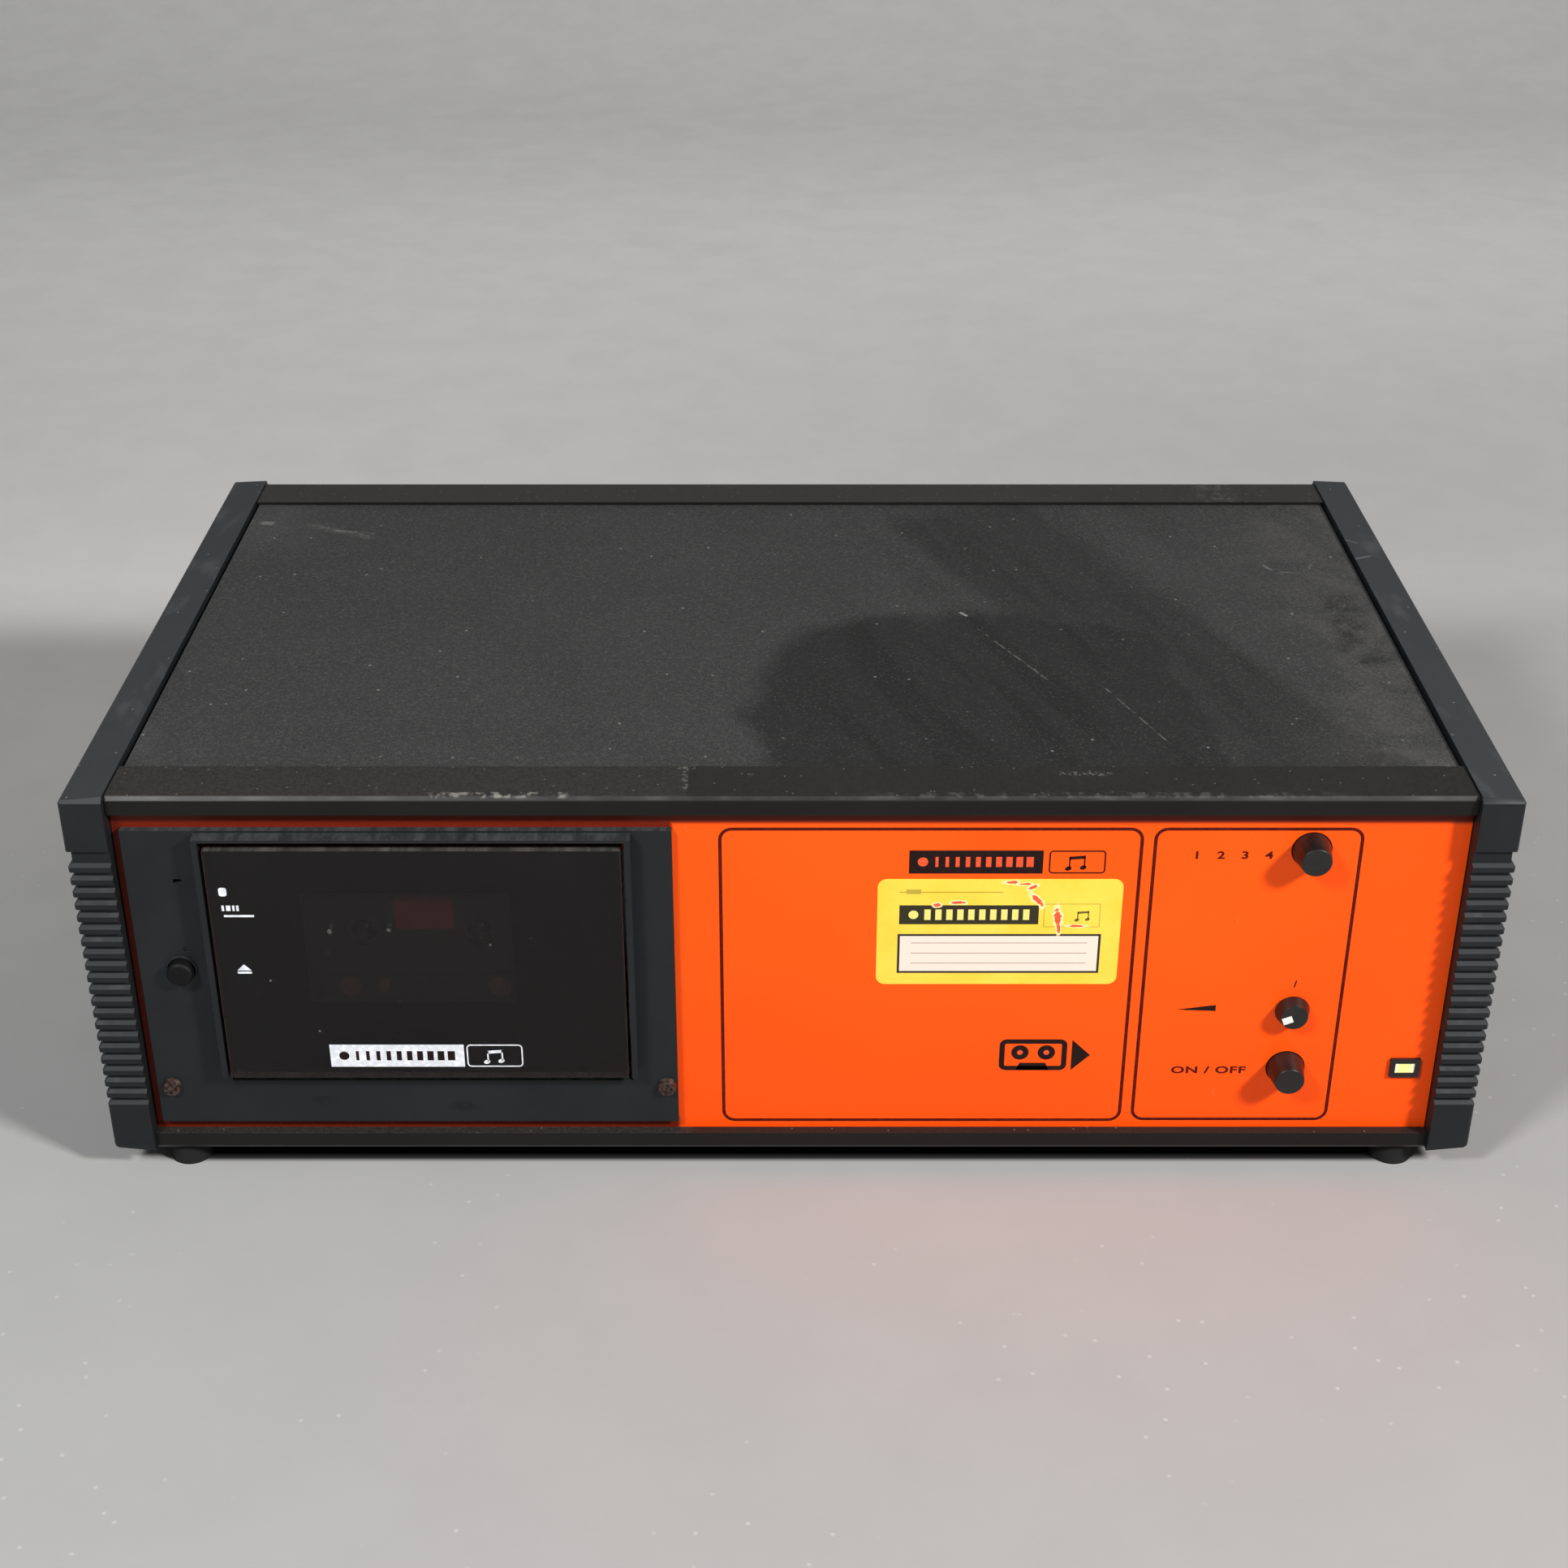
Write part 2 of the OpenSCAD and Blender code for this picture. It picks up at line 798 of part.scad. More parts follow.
module rubber_feet() {
  color("#151515") for (p = foot_points()) translate([p[0], p[1], 0]) difference() {
    cylinder(r = foot_r, h = foot_h);
    translate([0, 0, -1]) cylinder(r = foot_bore_r, h = foot_h + 2);
    translate([0, 0, -1]) cylinder(r = foot_sink_r, h = foot_sink + 1);
  }
}

module foot_screws() {
  color("#8a8a88") for (p = foot_points()) translate([p[0], p[1], foot_sink - screw_head_t]) {
    cylinder(r = screw_head_r, h = screw_head_t);
    cylinder(r = foot_screw_r, h = foot_h - foot_sink + screw_head_t + foot_thread - 1);
  }
}

// Deck front

// Front plate of the deck, with the raised walls that stand round the door
module deck_bezel() {
  wall_x0 = deck_x - door_hole_w / 2;
  wall_h = door_hole_z1 + top_wall - pane_z0;
  color("#262a2c") difference() {
    union() {
      translate([bezel_x0, bezel_y, bezel_z0]) cube([bezel_w, bezel_t, bezel_h]);
      translate([wall_x0 - side_wall, pane_y, pane_z0])
        cube([door_hole_w + 2 * side_wall, door_proud + 1, wall_h]);
      translate([eject_x, bezel_y - eject_collar_h, eject_z])
        along_y(eject_r + slip_gap + eject_collar_t, eject_collar_h + 1);
    }
    translate([wall_x0, pane_y - 1, door_hole_z0])
      cube([door_hole_w, door_proud + bezel_t + 2, door_hole_z1 - door_hole_z0]);
    translate([eject_x, bezel_y - 1, eject_z]) along_y(eject_r + slip_gap, bezel_t + 2);
    for (x = [bezel_screw_left, bezel_screw_right])
      translate([x, bezel_y - 1, bezel_screw_z]) along_y(bezel_screw_r + 0.2, bezel_t + 2);
    translate([slot_x - slot_w / 2, bezel_y - 1, slot_z - slot_h / 2])
      cube([slot_w, bezel_t + 2, slot_h]);
    translate([slot_x, bezel_y - 1, dimple_z]) along_y(dimple_r, 1.5);
  }
}

module bezel_screws() {
  head_y = bezel_y - bezel_head_t;
  color("#33302c") for (x = [bezel_screw_left, bezel_screw_right])
    translate([x, head_y, bezel_screw_z]) {
      difference() {
        along_y(bezel_head_r * 0.8, bezel_head_t, bezel_head_r);
        for (turn = [0, 90]) rotate([0, turn, 0])
          translate([-screw_slot / 2, -1, -bezel_head_r * 0.5])
            cube([screw_slot, 1 + screw_slot, bezel_head_r]);
      }
      along_y(bezel_screw_r, bezel_head_t + bezel_t + panel_t);
    }
}

// Pressed steel frame of the deck: a back plate with two sides that carry the door's pivots
module deck_chassis() {
  color("#9a9c9e") difference() {
    union() {
      x0 = eject_x - chassis_eject_margin;
      translate([x0, chassis_y, chassis_z0])
        cube([deck_x + chassis_in + chassis_t - x0, chassis_t, chassis_z1 - chassis_z0]);
      for (side = [0, 1]) translate([deck_x, 0, 0]) mirror([side, 0, 0])
        translate([chassis_in, bezel_y + bezel_t, chassis_z0])
          cube([chassis_t, chassis_y - bezel_y - bezel_t + 1, chassis_side_h]);
      for (side = [-1, 1]) {
        translate([deck_x + side * arm_pivot_off, lever_y - slip_gap, arm_pivot_z])
          along_y(arm_pin_r, chassis_y - lever_y + 1);
        translate([deck_x + side * guide_apart / 2, lever_y, guide_z])
          along_y(guide_r, chassis_y - lever_y + 1);
        translate([deck_x + side * guide_apart / 2, lever_y - slip_gap - guide_head_t, guide_z])
          along_y(guide_head_r, guide_head_t);
        translate([deck_x + side * guide_apart / 2, lever_y - slip_gap - guide_head_t / 2, guide_z])
          along_y(guide_r, 2 * guide_head_t);
      }
    }
    for (side = [-1, 1]) {
      translate([deck_x + side * hub_apart / 2, chassis_y - 1, hub_z])
        along_y(spindle_shaft_r + run_gap, chassis_t + 2);
      translate([deck_x + side * capstan_apart / 2, chassis_y - 1, capstan_z])
        along_y(bearing_r, chassis_t + 2);
    }
    translate([deck_x, chassis_y - 1, motor_z]) along_y(motor_nose_r, chassis_t + 2);
    translate([eject_x, chassis_y - 1, eject_z])
      along_y(eject_stem_r + run_gap, chassis_t + 2);
    translate([deck_x - chassis_in - chassis_t - 1, pivot_y, pivot_z])
      along_x(pivot_r + run_gap, 2 * chassis_in + 2 * chassis_t + 2);
  }
}

module capstan_bearings() {
  color("#9c6a45") for (side = [-1, 1])
    translate([deck_x + side * capstan_apart / 2, chassis_y - bearing_flange_t, capstan_z])
      difference() {
        union() {
          along_y(bearing_flange_r, bearing_flange_t);
          along_y(bearing_r, bearing_flange_t + chassis_t + bearing_len);
        }
        translate([0, -1, 0])
          along_y(capstan_r + run_gap, bearing_flange_t + chassis_t + bearing_len + 2);
      }
}

module deck_motor() {
  color("#b0b0ac") translate([deck_x, chassis_back, motor_z]) difference() {
    union() {
      along_y(motor_r, motor_l);
      translate([0, -chassis_t, 0]) along_y(motor_nose_r - slip_gap, chassis_t + 1);
    }
    translate([0, motor_shaft_in / 2, 0]) along_y(motor_shaft_r + run_gap, motor_l);
  }
}

module motor_pulley() {
  color("#c9b27a") translate([deck_x, 0, motor_z]) {
    translate([0, chassis_back + motor_shaft_in, 0])
      along_y(motor_shaft_r, belt_y + belt_w - chassis_back);
    translate([0, belt_y - pulley_rim, 0]) along_y(pulley_r, belt_w + 2 * pulley_rim);
  }
}

// A flat belt round a list of [x, z, radius] wheels
module belt_round(wheels, y, width) {
  translate([0, y, 0]) wall_y(width) difference() {
    hull() for (w = wheels) translate([w[0], w[1]]) circle(r = w[2] + slip_gap + belt_t);
    hull() for (w = wheels) translate([w[0], w[1]]) circle(r = w[2] + slip_gap);
  }
}

module drive_belt() {
  off = capstan_apart / 2;
  color("#1c1c1c") translate([deck_x, 0, 0]) belt_round(
    [[-off, capstan_z, flywheel_r], [off, capstan_z, flywheel_r], [0, motor_z, pulley_r]],
    belt_y, belt_w
  );
}

module reel_belts() {
  color("#1c1c1c") for (side = [-1, 1]) translate([deck_x, 0, 0]) belt_round(
    [
      [side * capstan_apart / 2, capstan_z, boss_drive_r],
      [side * hub_apart / 2, hub_z, reel_pulley_r]
    ],
    reel_belt_y + (reel_pulley_t - reel_belt_w) / 2, reel_belt_w
  );
}

// Door

module door_pane() {
  color([0.1, 0.07, 0.06, 0.8]) translate([deck_x - pane_w / 2, pane_y, pane_z0])
    cube([pane_w, pane_t, pane_h]);
}

// Moulded carrier behind the door: a front mask, a channel for each end of the cassette, two ears
module cassette_holder() {
  front = pane_back;
  back_of_lip = cassette_y + cassette_t / 2 + channel_gap;
  slot_x1 = cassette_w / 2 + channel_gap;
  channel_z0 = cassette_z - channel_gap - holder_t;
  channel_h = cassette_h * channel_share;
  color("#1a1a1a") translate([deck_x, 0, 0]) difference() {
    union() {
      translate([-pane_w / 2, front, holder_z0])
        cube([pane_w, hook_t, pane_z0 + pane_h - holder_z0]);
      for (side = [0, 1]) mirror([side, 0, 0]) {
        translate([slot_x1, front, channel_z0])
          cube([holder_t, back_of_lip + holder_t - front, channel_h]);
        translate([slot_x1 - channel_lip, back_of_lip, channel_z0])
          cube([channel_lip + 1, holder_t, channel_h]);
        translate([slot_x1 - channel_lip, front + 1, channel_z0])
          cube([channel_lip + 1, back_of_lip - front, holder_t]);
        translate([slot_x1 - channel_lip + 2, front + 1, channel_z0 + 1])
          cube([channel_lip, cassette_y - cassette_t / 2 - channel_gap - front - 1, channel_h - 1]);
        translate([pane_w / 2 - holder_t, 0, 0]) wall_x(holder_t) ear_outline();
        translate([pane_w / 2 - 0.5, pivot_y, pivot_z])
          along_x(pivot_r, holder_flange_gap + chassis_t + 0.5);
      }
    }
    translate([window_x - deck_x - window_w / 2, front - 1, window_z])
      cube([window_w, hook_t + 2, window_h]);
  }
}

module ear_outline() {
  translate([pivot_y, pivot_z]) circle(r = ear_r);
  polygon([
    [pane_back + hook_t / 2, holder_z0], [pivot_y - ear_r, pivot_z],
    [pivot_y + ear_r, pivot_z], [pane_back + hook_t + 3, holder_z0 + ear_h],
    [pane_back + hook_t / 2, holder_z0 + ear_h]
  ]);
}

// Cassette, tape edge down

module cassette_outline() {
  polygon([
    [-cassette_w / 2, 0], [cassette_w / 2, 0],
    [cassette_w / 2, cassette_h], [-cassette_w / 2, cassette_h]
  ]);
}

module edge_outline() {
  polygon([
    [-edge_bottom_w / 2, 0], [edge_bottom_w / 2, 0],
    [edge_top_w / 2, edge_h], [-edge_top_w / 2, edge_h]
  ]);
}

// An opening in the tape edge, given its middle, half its width and half its depth
module bay(x, half_w, half_d) {
  translate([x - half_w, -half_d, -1]) cube([2 * half_w, 2 * half_d, head_bay_h + 1]);
}

module shell_half(front) {
  from = front ? -cassette_edge_t / 2 : shell_split;
  size = cassette_edge_t / 2 - shell_split;
  intersection() {
    translate([deck_x, cassette_y, cassette_z]) difference() {
      union() {
        translate([0, -cassette_t / 2, 0]) wall_y(cassette_t) cassette_outline();
        translate([0, -cassette_edge_t / 2, 0]) wall_y(cassette_edge_t) edge_outline();
      }
      cavity_y = cassette_t / 2 - cassette_wall;
      cavity_z = hub_z - cassette_z - max(left_pack_r, right_pack_r) - pack_gap;
      translate([-cassette_w / 2 + cassette_rim, -cavity_y, cavity_z])
        cube([cassette_w - 2 * cassette_rim, 2 * cavity_y, cassette_h - cavity_z - cassette_rim]);
      bay(0, head_w / 2 + head_bay_side, head_t / 2 + bay_gap);
      for (side = [-1, 1]) {
        bay(side * capstan_apart / 2, pinch_r + roller_bay_side,
          roller_w / 2 + fork_t + bay_gap);
        translate([side * capstan_apart / 2, -cassette_edge_t, capstan_z - cassette_z])
          along_y(capstan_hole_r, 2 * cassette_edge_t);
        translate([side * hub_apart / 2, -cassette_edge_t, hub_z - cassette_z])
          along_y(hub_collar_r + slip_gap, 2 * cassette_edge_t);
      }
    }
    translate([deck_x - cassette_w, cassette_y + from, cassette_z - 1])
      cube([2 * cassette_w, size, cassette_h + 2]);
  }
}

module cassette_front_shell() {
  color("#242424") shell_half(true);
}

module cassette_rear_shell() {
  color("#242424") shell_half(false);
}

module hub() {
  color("#e8e6df") translate([0, cassette_y, hub_z]) {
    difference() {
      union() {
        translate([0, -hub_t / 2, 0]) along_y(hub_r, hub_t);
        translate([0, -cassette_t / 2 + hub_sink, 0])
          along_y(hub_collar_r, cassette_t - 2 * hub_sink);
      }
      translate([0, -cassette_t, 0]) along_y(hub_bore_r, 2 * cassette_t);
    }
    for (k = [0 : 5]) rotate([0, k * 60, 0])
      translate([-hub_tooth / 2, -hub_t / 2, tooth_r])
        cube([hub_tooth, hub_t, hub_bore_r - tooth_r + 0.3]);
  }
}

module tape_pack(r) {
  color("#4a2f22") translate([0, cassette_y - tape_t / 2, hub_z]) difference() {
    along_y(r, tape_t);
    translate([0, -1, 0]) along_y(hub_r, tape_t + 2);
  }
}

module at_left_reel() {
  translate([deck_x - hub_apart / 2, 0, 0]) children();
}

module at_right_reel() {
  translate([deck_x + hub_apart / 2, 0, 0]) children();
}

module left_hub() {
  at_left_reel() hub();
}

module right_hub() {
  at_right_reel() hub();
}

module left_tape_pack() {
  at_left_reel() tape_pack(left_pack_r);
}

module right_tape_pack() {
  at_right_reel() tape_pack(right_pack_r);
}

// Drive spindle for a reel: three fins in the hub, a disc, a shaft through the chassis, a pulley
module spindle() {
  tip_y = cassette_y + cassette_t / 2 - spindle_reach;
  disc_y = cassette_y + cassette_edge_t / 2 + disc_gap;
  fin_y = tip_y + spindle_nose;
  fin_l = disc_y - fin_y;
  color("#1e1e1e") translate([0, 0, hub_z]) {
    rotate([-90, 0, 0]) rotate_extrude() polygon([
      [0, tip_y], [spindle_core_r / 2, tip_y], [spindle_core_r, fin_y],
      [spindle_core_r, disc_y], [spindle_disc_r, disc_y],
      [spindle_disc_r, disc_y + spindle_disc_t], [spindle_shaft_r, disc_y + spindle_disc_t],
      [spindle_shaft_r, reel_belt_y], [reel_pulley_r, reel_belt_y],
      [reel_pulley_r, reel_belt_y + reel_pulley_t], [0, reel_belt_y + reel_pulley_t]
    ]);
    for (k = [0 : 2]) rotate([0, 30 + k * 120, 0])
      translate([-hub_tooth / 2, fin_y + 0.2, spindle_core_r / 2])
        cube([hub_tooth, fin_l + spindle_disc_t / 4, spindle_fin_r - spindle_core_r / 2]);
  }
}

module left_spindle() {
  at_left_reel() spindle();
}

module right_spindle() {
  at_right_reel() spindle();
}

// Capstan shaft with its flywheel and the small drum that drives a reel belt
module flywheel() {
  tip_y = cassette_y + cassette_edge_t / 2 - capstan_reach;
  color("#a8a9aa") translate([0, 0, capstan_z]) {
    translate([0, tip_y, 0]) along_y(capstan_r, flywheel_y + flywheel_t - tip_y);
    difference() {
      union() {
        translate([0, reel_belt_y, 0]) along_y(boss_drive_r, flywheel_y - reel_belt_y + 1);
        translate([0, flywheel_y, 0]) along_y(flywheel_r, flywheel_t);
      }
      translate([0, reel_belt_y - 1, 0]) along_y(capstan_r, flywheel_y + flywheel_t);
      translate([0, flywheel_y + flywheel_t - flywheel_dish, 0]) difference() {
        along_y(flywheel_r - flywheel_rim, flywheel_dish + 1);
        translate([0, -1, 0]) along_y(boss_drive_r, flywheel_dish + 3);
      }
    }
  }
}

module left_flywheel() {
  translate([deck_x - capstan_apart / 2, 0, 0]) flywheel();
}

module right_flywheel() {
  translate([deck_x + capstan_apart / 2, 0, 0]) flywheel();
}

// Sliding plate that lifts the head into the cassette, on two headed studs
module head_plate() {
  z1 = head_top - head_h;
  color("#b5b6b4") translate([deck_x, 0, 0]) difference() {
    union() {
      translate([-plate_w / 2, lever_y, z1 - plate_drop])
        cube([plate_w, lever_t, plate_drop]);
      translate([-head_w / 2, cassette_y - head_t / 2, z1 - head_shelf_t])
        cube([head_w, lever_y + lever_t - cassette_y + head_t / 2, head_shelf_t]);
    }
    for (side = [-1, 1]) {
      slot_r = guide_r + guide_gap;
      translate([side * guide_apart / 2 - slot_r, lever_y - 1, guide_z - head_lift])
        cube([2 * slot_r, lever_t + 2, head_lift]);
      for (z = [guide_z, guide_z - head_lift])
        translate([side * guide_apart / 2, lever_y - 1, z]) along_y(slot_r, lever_t + 2);
    }
  }
}

module tape_head() {
  z0 = head_top - head_h;
  color("#c8c9c7") translate([deck_x - head_w / 2, cassette_y - head_t / 2, z0]) {
    cube([head_w, head_t, head_h - head_shoulder]);
    translate([head_shoulder, 0, 0]) cube([head_w - 2 * head_shoulder, head_t, head_h]);
  }
}

// Arm that swings a roller up to its capstan, drawn for the right side with the roller at rest
module pinch_arm() {
  pivot_x = arm_pivot_off;
  roller_x = capstan_apart / 2;
  cheek_r = fork_w / 2;
  base_z = roller_rest_z - fork_drop - fork_base_t;
  fork_in = roller_w / 2 + slip_gap / 2;
  color("#b5b6b4") difference() {
    union() {
      for (side = [0, 1]) translate([0, cassette_y, 0]) mirror([0, side, 0])
        translate([roller_x, fork_in, roller_rest_z]) {
          along_y(cheek_r * 0.8, fork_t - slip_gap / 2);
          translate([-cheek_r * 0.8, 0, -fork_drop - 0.5])
            cube([cheek_r * 1.6, fork_t - slip_gap / 2, fork_drop + 0.5]);
        }
      translate([roller_x, cassette_y - fork_in - 0.1, roller_rest_z])
        along_y(roller_axle_r, 2 * fork_in + 0.2);
      translate([roller_x - cheek_r, cassette_y - fork_in - fork_t + slip_gap / 2, base_z])
        cube([fork_w, lever_y + lever_t - cassette_y + fork_in + fork_t - slip_gap / 2, fork_base_t]);
      translate([0, lever_y, 0]) wall_y(lever_t) polygon([
        [roller_x - cheek_r, base_z], [pivot_x, arm_pivot_z - arm_w],
        [pivot_x, arm_pivot_z + arm_w / 2], [roller_x - cheek_r, base_z + fork_base_t + 1]
      ]);
      translate([pivot_x, lever_y, arm_pivot_z]) along_y(arm_boss_r, chassis_y - lever_y - slip_gap);
    }
    translate([pivot_x, lever_y - 1, arm_pivot_z])
      along_y(arm_pin_r + run_gap, chassis_y - lever_y + 2);
  }
}

module pinch_roller() {
  color("#3a2c26") translate([capstan_apart / 2, cassette_y - roller_w / 2, roller_rest_z])
    difference() {
      along_y(pinch_r, roller_w);
      translate([0, -1, 0]) along_y(roller_axle_r + run_gap, roller_w + 2);
    }
}

module right_pinch_arm() {
  translate([deck_x, 0, 0]) pinch_arm();
}

module left_pinch_arm() {
  translate([deck_x, 0, 0]) mirror([1, 0, 0]) pinch_arm();
}

module right_pinch_roller() {
  translate([deck_x, 0, 0]) pinch_roller();
}

module left_pinch_roller() {
  translate([deck_x, 0, 0]) mirror([1, 0, 0]) pinch_roller();
}

// Eject button with its stem through the chassis
module eject_button() {
  front = bezel_y - eject_proud;
  skirt = eject_proud + eject_skirt;
  color("#202427") translate([eject_x, 0, eject_z]) {
    translate([0, front, 0]) along_y(eject_r - eject_bevel, eject_bevel, eject_r);
    translate([0, front + eject_bevel, 0]) along_y(eject_r, skirt - eject_bevel);
    translate([0, front + skirt - 1, 0])
      along_y(eject_stem_r, chassis_back + eject_stem_end - front - skirt + 1);
  }
}

// A coil spring along Y between two planes, swept as a tube round a helix
module coil_spring(r, wire, y0, y1) {
  steps = spring_turns * spring_steps;
  climb = (y1 - y0 - 2 * wire) / steps;
  points = [
    for (i = [0 : steps], j = [0 : spring_sides - 1])
      let (
        a = i * 360 / spring_steps,
        b = j * 360 / spring_sides,
        reach = r + wire * cos(b)
      )
        [reach * cos(a), y0 + wire + i * climb + wire * sin(b), reach * sin(a)]
  ];
  sides = [
    for (i = [0 : steps - 1], j = [0 : spring_sides - 1])
      let (k = (j + 1) % spring_sides)
        [
          i * spring_sides + j, i * spring_sides + k,
          (i + 1) * spring_sides + k, (i + 1) * spring_sides + j
        ]
  ];
  start = [for (j = [spring_sides - 1 : -1 : 0]) j];
  finish = [for (j = [0 : spring_sides - 1]) steps * spring_sides + j];
  polyhedron(points, concat(sides, [start, finish]));
}

module eject_spring() {
  color("#c0c0be") translate([eject_x, 0, eject_z])
    coil_spring(
      eject_stem_r + spring_wire + slip_gap, spring_wire,
      bezel_y + eject_skirt + 0.05, chassis_y - 0.05
    );
}

// Controls

// A tapered push button that slides through its hole in the panel, with a stem behind
module push_button(up, length, face_r) {
  front = panel_y - length;
  color("#141414") translate([control_x, 0, open_z + up]) {
    translate([0, front, 0]) along_y(face_r, length, control_r);
    translate([0, panel_y, 0]) along_y(control_r, button_skirt);
    translate([0, panel_y + button_skirt - 1, 0])
      along_y(stem_r, switch_y + stem_in - panel_y - button_skirt + 1);
  }
}

module push_switch(up) {
  color("#2a2a2a") translate([control_x, switch_y, open_z + up]) difference() {
    translate([-switch_w / 2, 0, -switch_w / 2]) cube([switch_w, board_y - switch_y, switch_w]);
    translate([0, -1, 0]) along_y(stem_r + run_gap, stem_in + press + 1.5);
  }
}

module track_button() {
  push_button(track_up, track_len, control_r - button_taper);
}

module power_button() {
  push_button(power_up, power_len, control_r - button_taper);
}

module track_switch() {
  push_switch(track_up);
}

module power_switch() {
  push_switch(power_up);
}

module volume_knob() {
  color("#141414") translate([control_x, 0, open_z + volume_up]) difference() {
    union() {
      translate([0, panel_y - volume_len, 0])
        along_y(knob_r - knob_taper, volume_len - knob_gap, knob_r);
      rotate([0, pointer_angle, 0])
        translate([-pointer_w / 2, panel_y - volume_len - pointer_t, pointer_in])
          cube([pointer_w, pointer_t + 0.5, pointer_l]);
    }
    translate([0, shaft_y, 0]) along_y(pot_shaft_r, volume_len);
    translate([0, pot_bush_y - bush_gap, 0]) along_y(pot_bush_r + bush_gap, volume_len);
  }
}

module volume_shaft() {
  color("#b9b9b6") translate([control_x, shaft_y, open_z + volume_up])
    along_y(pot_shaft_r, panel_back + pot_shaft_in - shaft_y);
}

module volume_pot() {
  color("#8f8f8c") translate([control_x, 0, open_z + volume_up]) difference() {
    union() {
      translate([0, pot_bush_y, 0]) along_y(pot_bush_r, panel_back - pot_bush_y + 1);
      translate([0, panel_back, 0]) along_y(pot_r, board_y - panel_back);
    }
    translate([0, pot_bush_y - 1, 0])
      along_y(pot_shaft_r + run_gap, panel_back + pot_shaft_in - pot_bush_y + 1.5);
  }
}

module lamp_bezel() {
  w = lamp_w - 2 * lamp_lip - 2 * slip_gap;
  h = lamp_h - 2 * lamp_lip - 2 * slip_gap;
  lens = [lamp_w - 2 * lamp_rim, lamp_h - 2 * lamp_rim];
  color("#101010") translate([lamp_x, 0, lamp_z]) difference() {
    union() {
      translate([-lamp_w / 2, panel_y - lamp_proud, -lamp_h / 2])
        cube([lamp_w, lamp_proud, lamp_h]);
      translate([-w / 2, panel_y - 0.5, -h / 2]) cube([w, lamp_depth, h]);
    }
    translate([-lens[0] / 2, panel_y - 3, -lens[1] / 2])
      cube([lens[0], lamp_depth, lens[1]]);
  }
}

module lamp_lens() {
  w = lamp_w - 2 * lamp_rim;
  h = lamp_h - 2 * lamp_rim;
  color("#e8e6b0") translate([lamp_x - w / 2, panel_y - lamp_proud + lens_sink, lamp_z - h / 2])
    cube([w, lens_t, h]);
}

module control_board() {
  color("#2f5d3a") difference() {
    translate([board_x - board_w / 2, board_y, board_z0])
      cube([board_w, board_t, board_z1 - board_z0]);
    for (p = control_studs())
      translate([p[0], board_y - 1, p[1]]) along_y(stud_tip_r, board_t + 2);
  }
}

// Amplifier

// A laminated core with a wound coil round its middle leg, in a pressed frame on the floor
module transformer(core, x, y) {
  leg = core[0] / 6;
  window_height = core[2] - 2 * leg;
  translate([x, y, floor_z]) {
    translate([-core[0] / 2, -core[1] / 2 - frame_margin, 0])
      cube([core[0], core[1] + 2 * frame_margin, frame_t]);
    difference() {
      translate([-core[0] / 2, -core[1] / 2, frame_t - frame_bite]) cube(core);
      for (side = [-1, 1])
        translate([side * 1.5 * leg - leg / 2, -core[1], frame_t - frame_bite + leg])
          cube([leg, 2 * core[1], window_height]);
    }
    translate([0, 0, frame_t - frame_bite + leg + slip_gap]) difference() {
      translate([-2 * leg + slip_gap, -core[1] / 2 - leg + slip_gap, 0])
        cube([4 * leg - 2 * slip_gap, core[1] + 2 * leg - 2 * slip_gap,
              window_height - 2 * slip_gap]);
      translate([-leg - slip_gap, -core[1] / 2 - slip_gap, -1])
        cube([2 * leg + 2 * slip_gap, core[1] + 2 * slip_gap, window_height + 2]);
    }
  }
}

module mains_transformer() {
  color("#7a5a3a") transformer(mains_core, mains_x, mains_y);
}

module line_transformer() {
  color("#7a5a3a") transformer(line_core, line_x, line_y);
}

module amplifier_board() {
  color("#2f5d3a") difference() {
    translate([amp_x - amp_w / 2, amp_y - amp_d / 2, floor_z + boss_h])
      cube([amp_w, amp_d, board_t]);
    for (p = board_corners(amp_x, amp_y, amp_w, amp_d, board_inset))
      translate([p[0], p[1], floor_z]) cylinder(r = boss_bore_r + 0.3, h = 2 * boss_h);
  }
}

module smoothing_capacitors() {
  color("#3b4f8a") for (k = [-1, 1])
    translate([amp_x + amp_w / 4, amp_y + k * (cap_r + cap_gap / 2), floor_z + boss_h + board_t])
      cylinder(r = cap_r, h = cap_h);
}

// Finned heat sink on the inner face of the rear panel
module heat_sink() {
  y = rear_panel_in - sink_base;
  color("#b9bbbd") translate([sink_x, 0, sink_z]) {
    translate([-sink_w / 2, y, 0]) cube([sink_w, sink_base, sink_h]);
    for (side = [0, 1]) mirror([side, 0, 0])
      for (x = [sink_flat / 2 : sink_pitch : sink_w / 2 - sink_fin_t])
        translate([x, y - sink_fin, 0]) cube([sink_fin_t, sink_fin + 1, sink_h]);
  }
}

module power_transistors() {
  y = rear_panel_in - sink_base;
  color("#a6a7a5") for (k = [0, 1])
    translate([sink_x, y, sink_z + sink_h * (0.25 + 0.5 * k)]) {
      translate([-sink_flat / 2 + device_margin, -device_flange_t, -device_r])
        cube([sink_flat - 2 * device_margin, device_flange_t, 2 * device_r]);
      translate([0, -device_h, 0]) along_y(device_r * 0.85, device_h);
    }
}

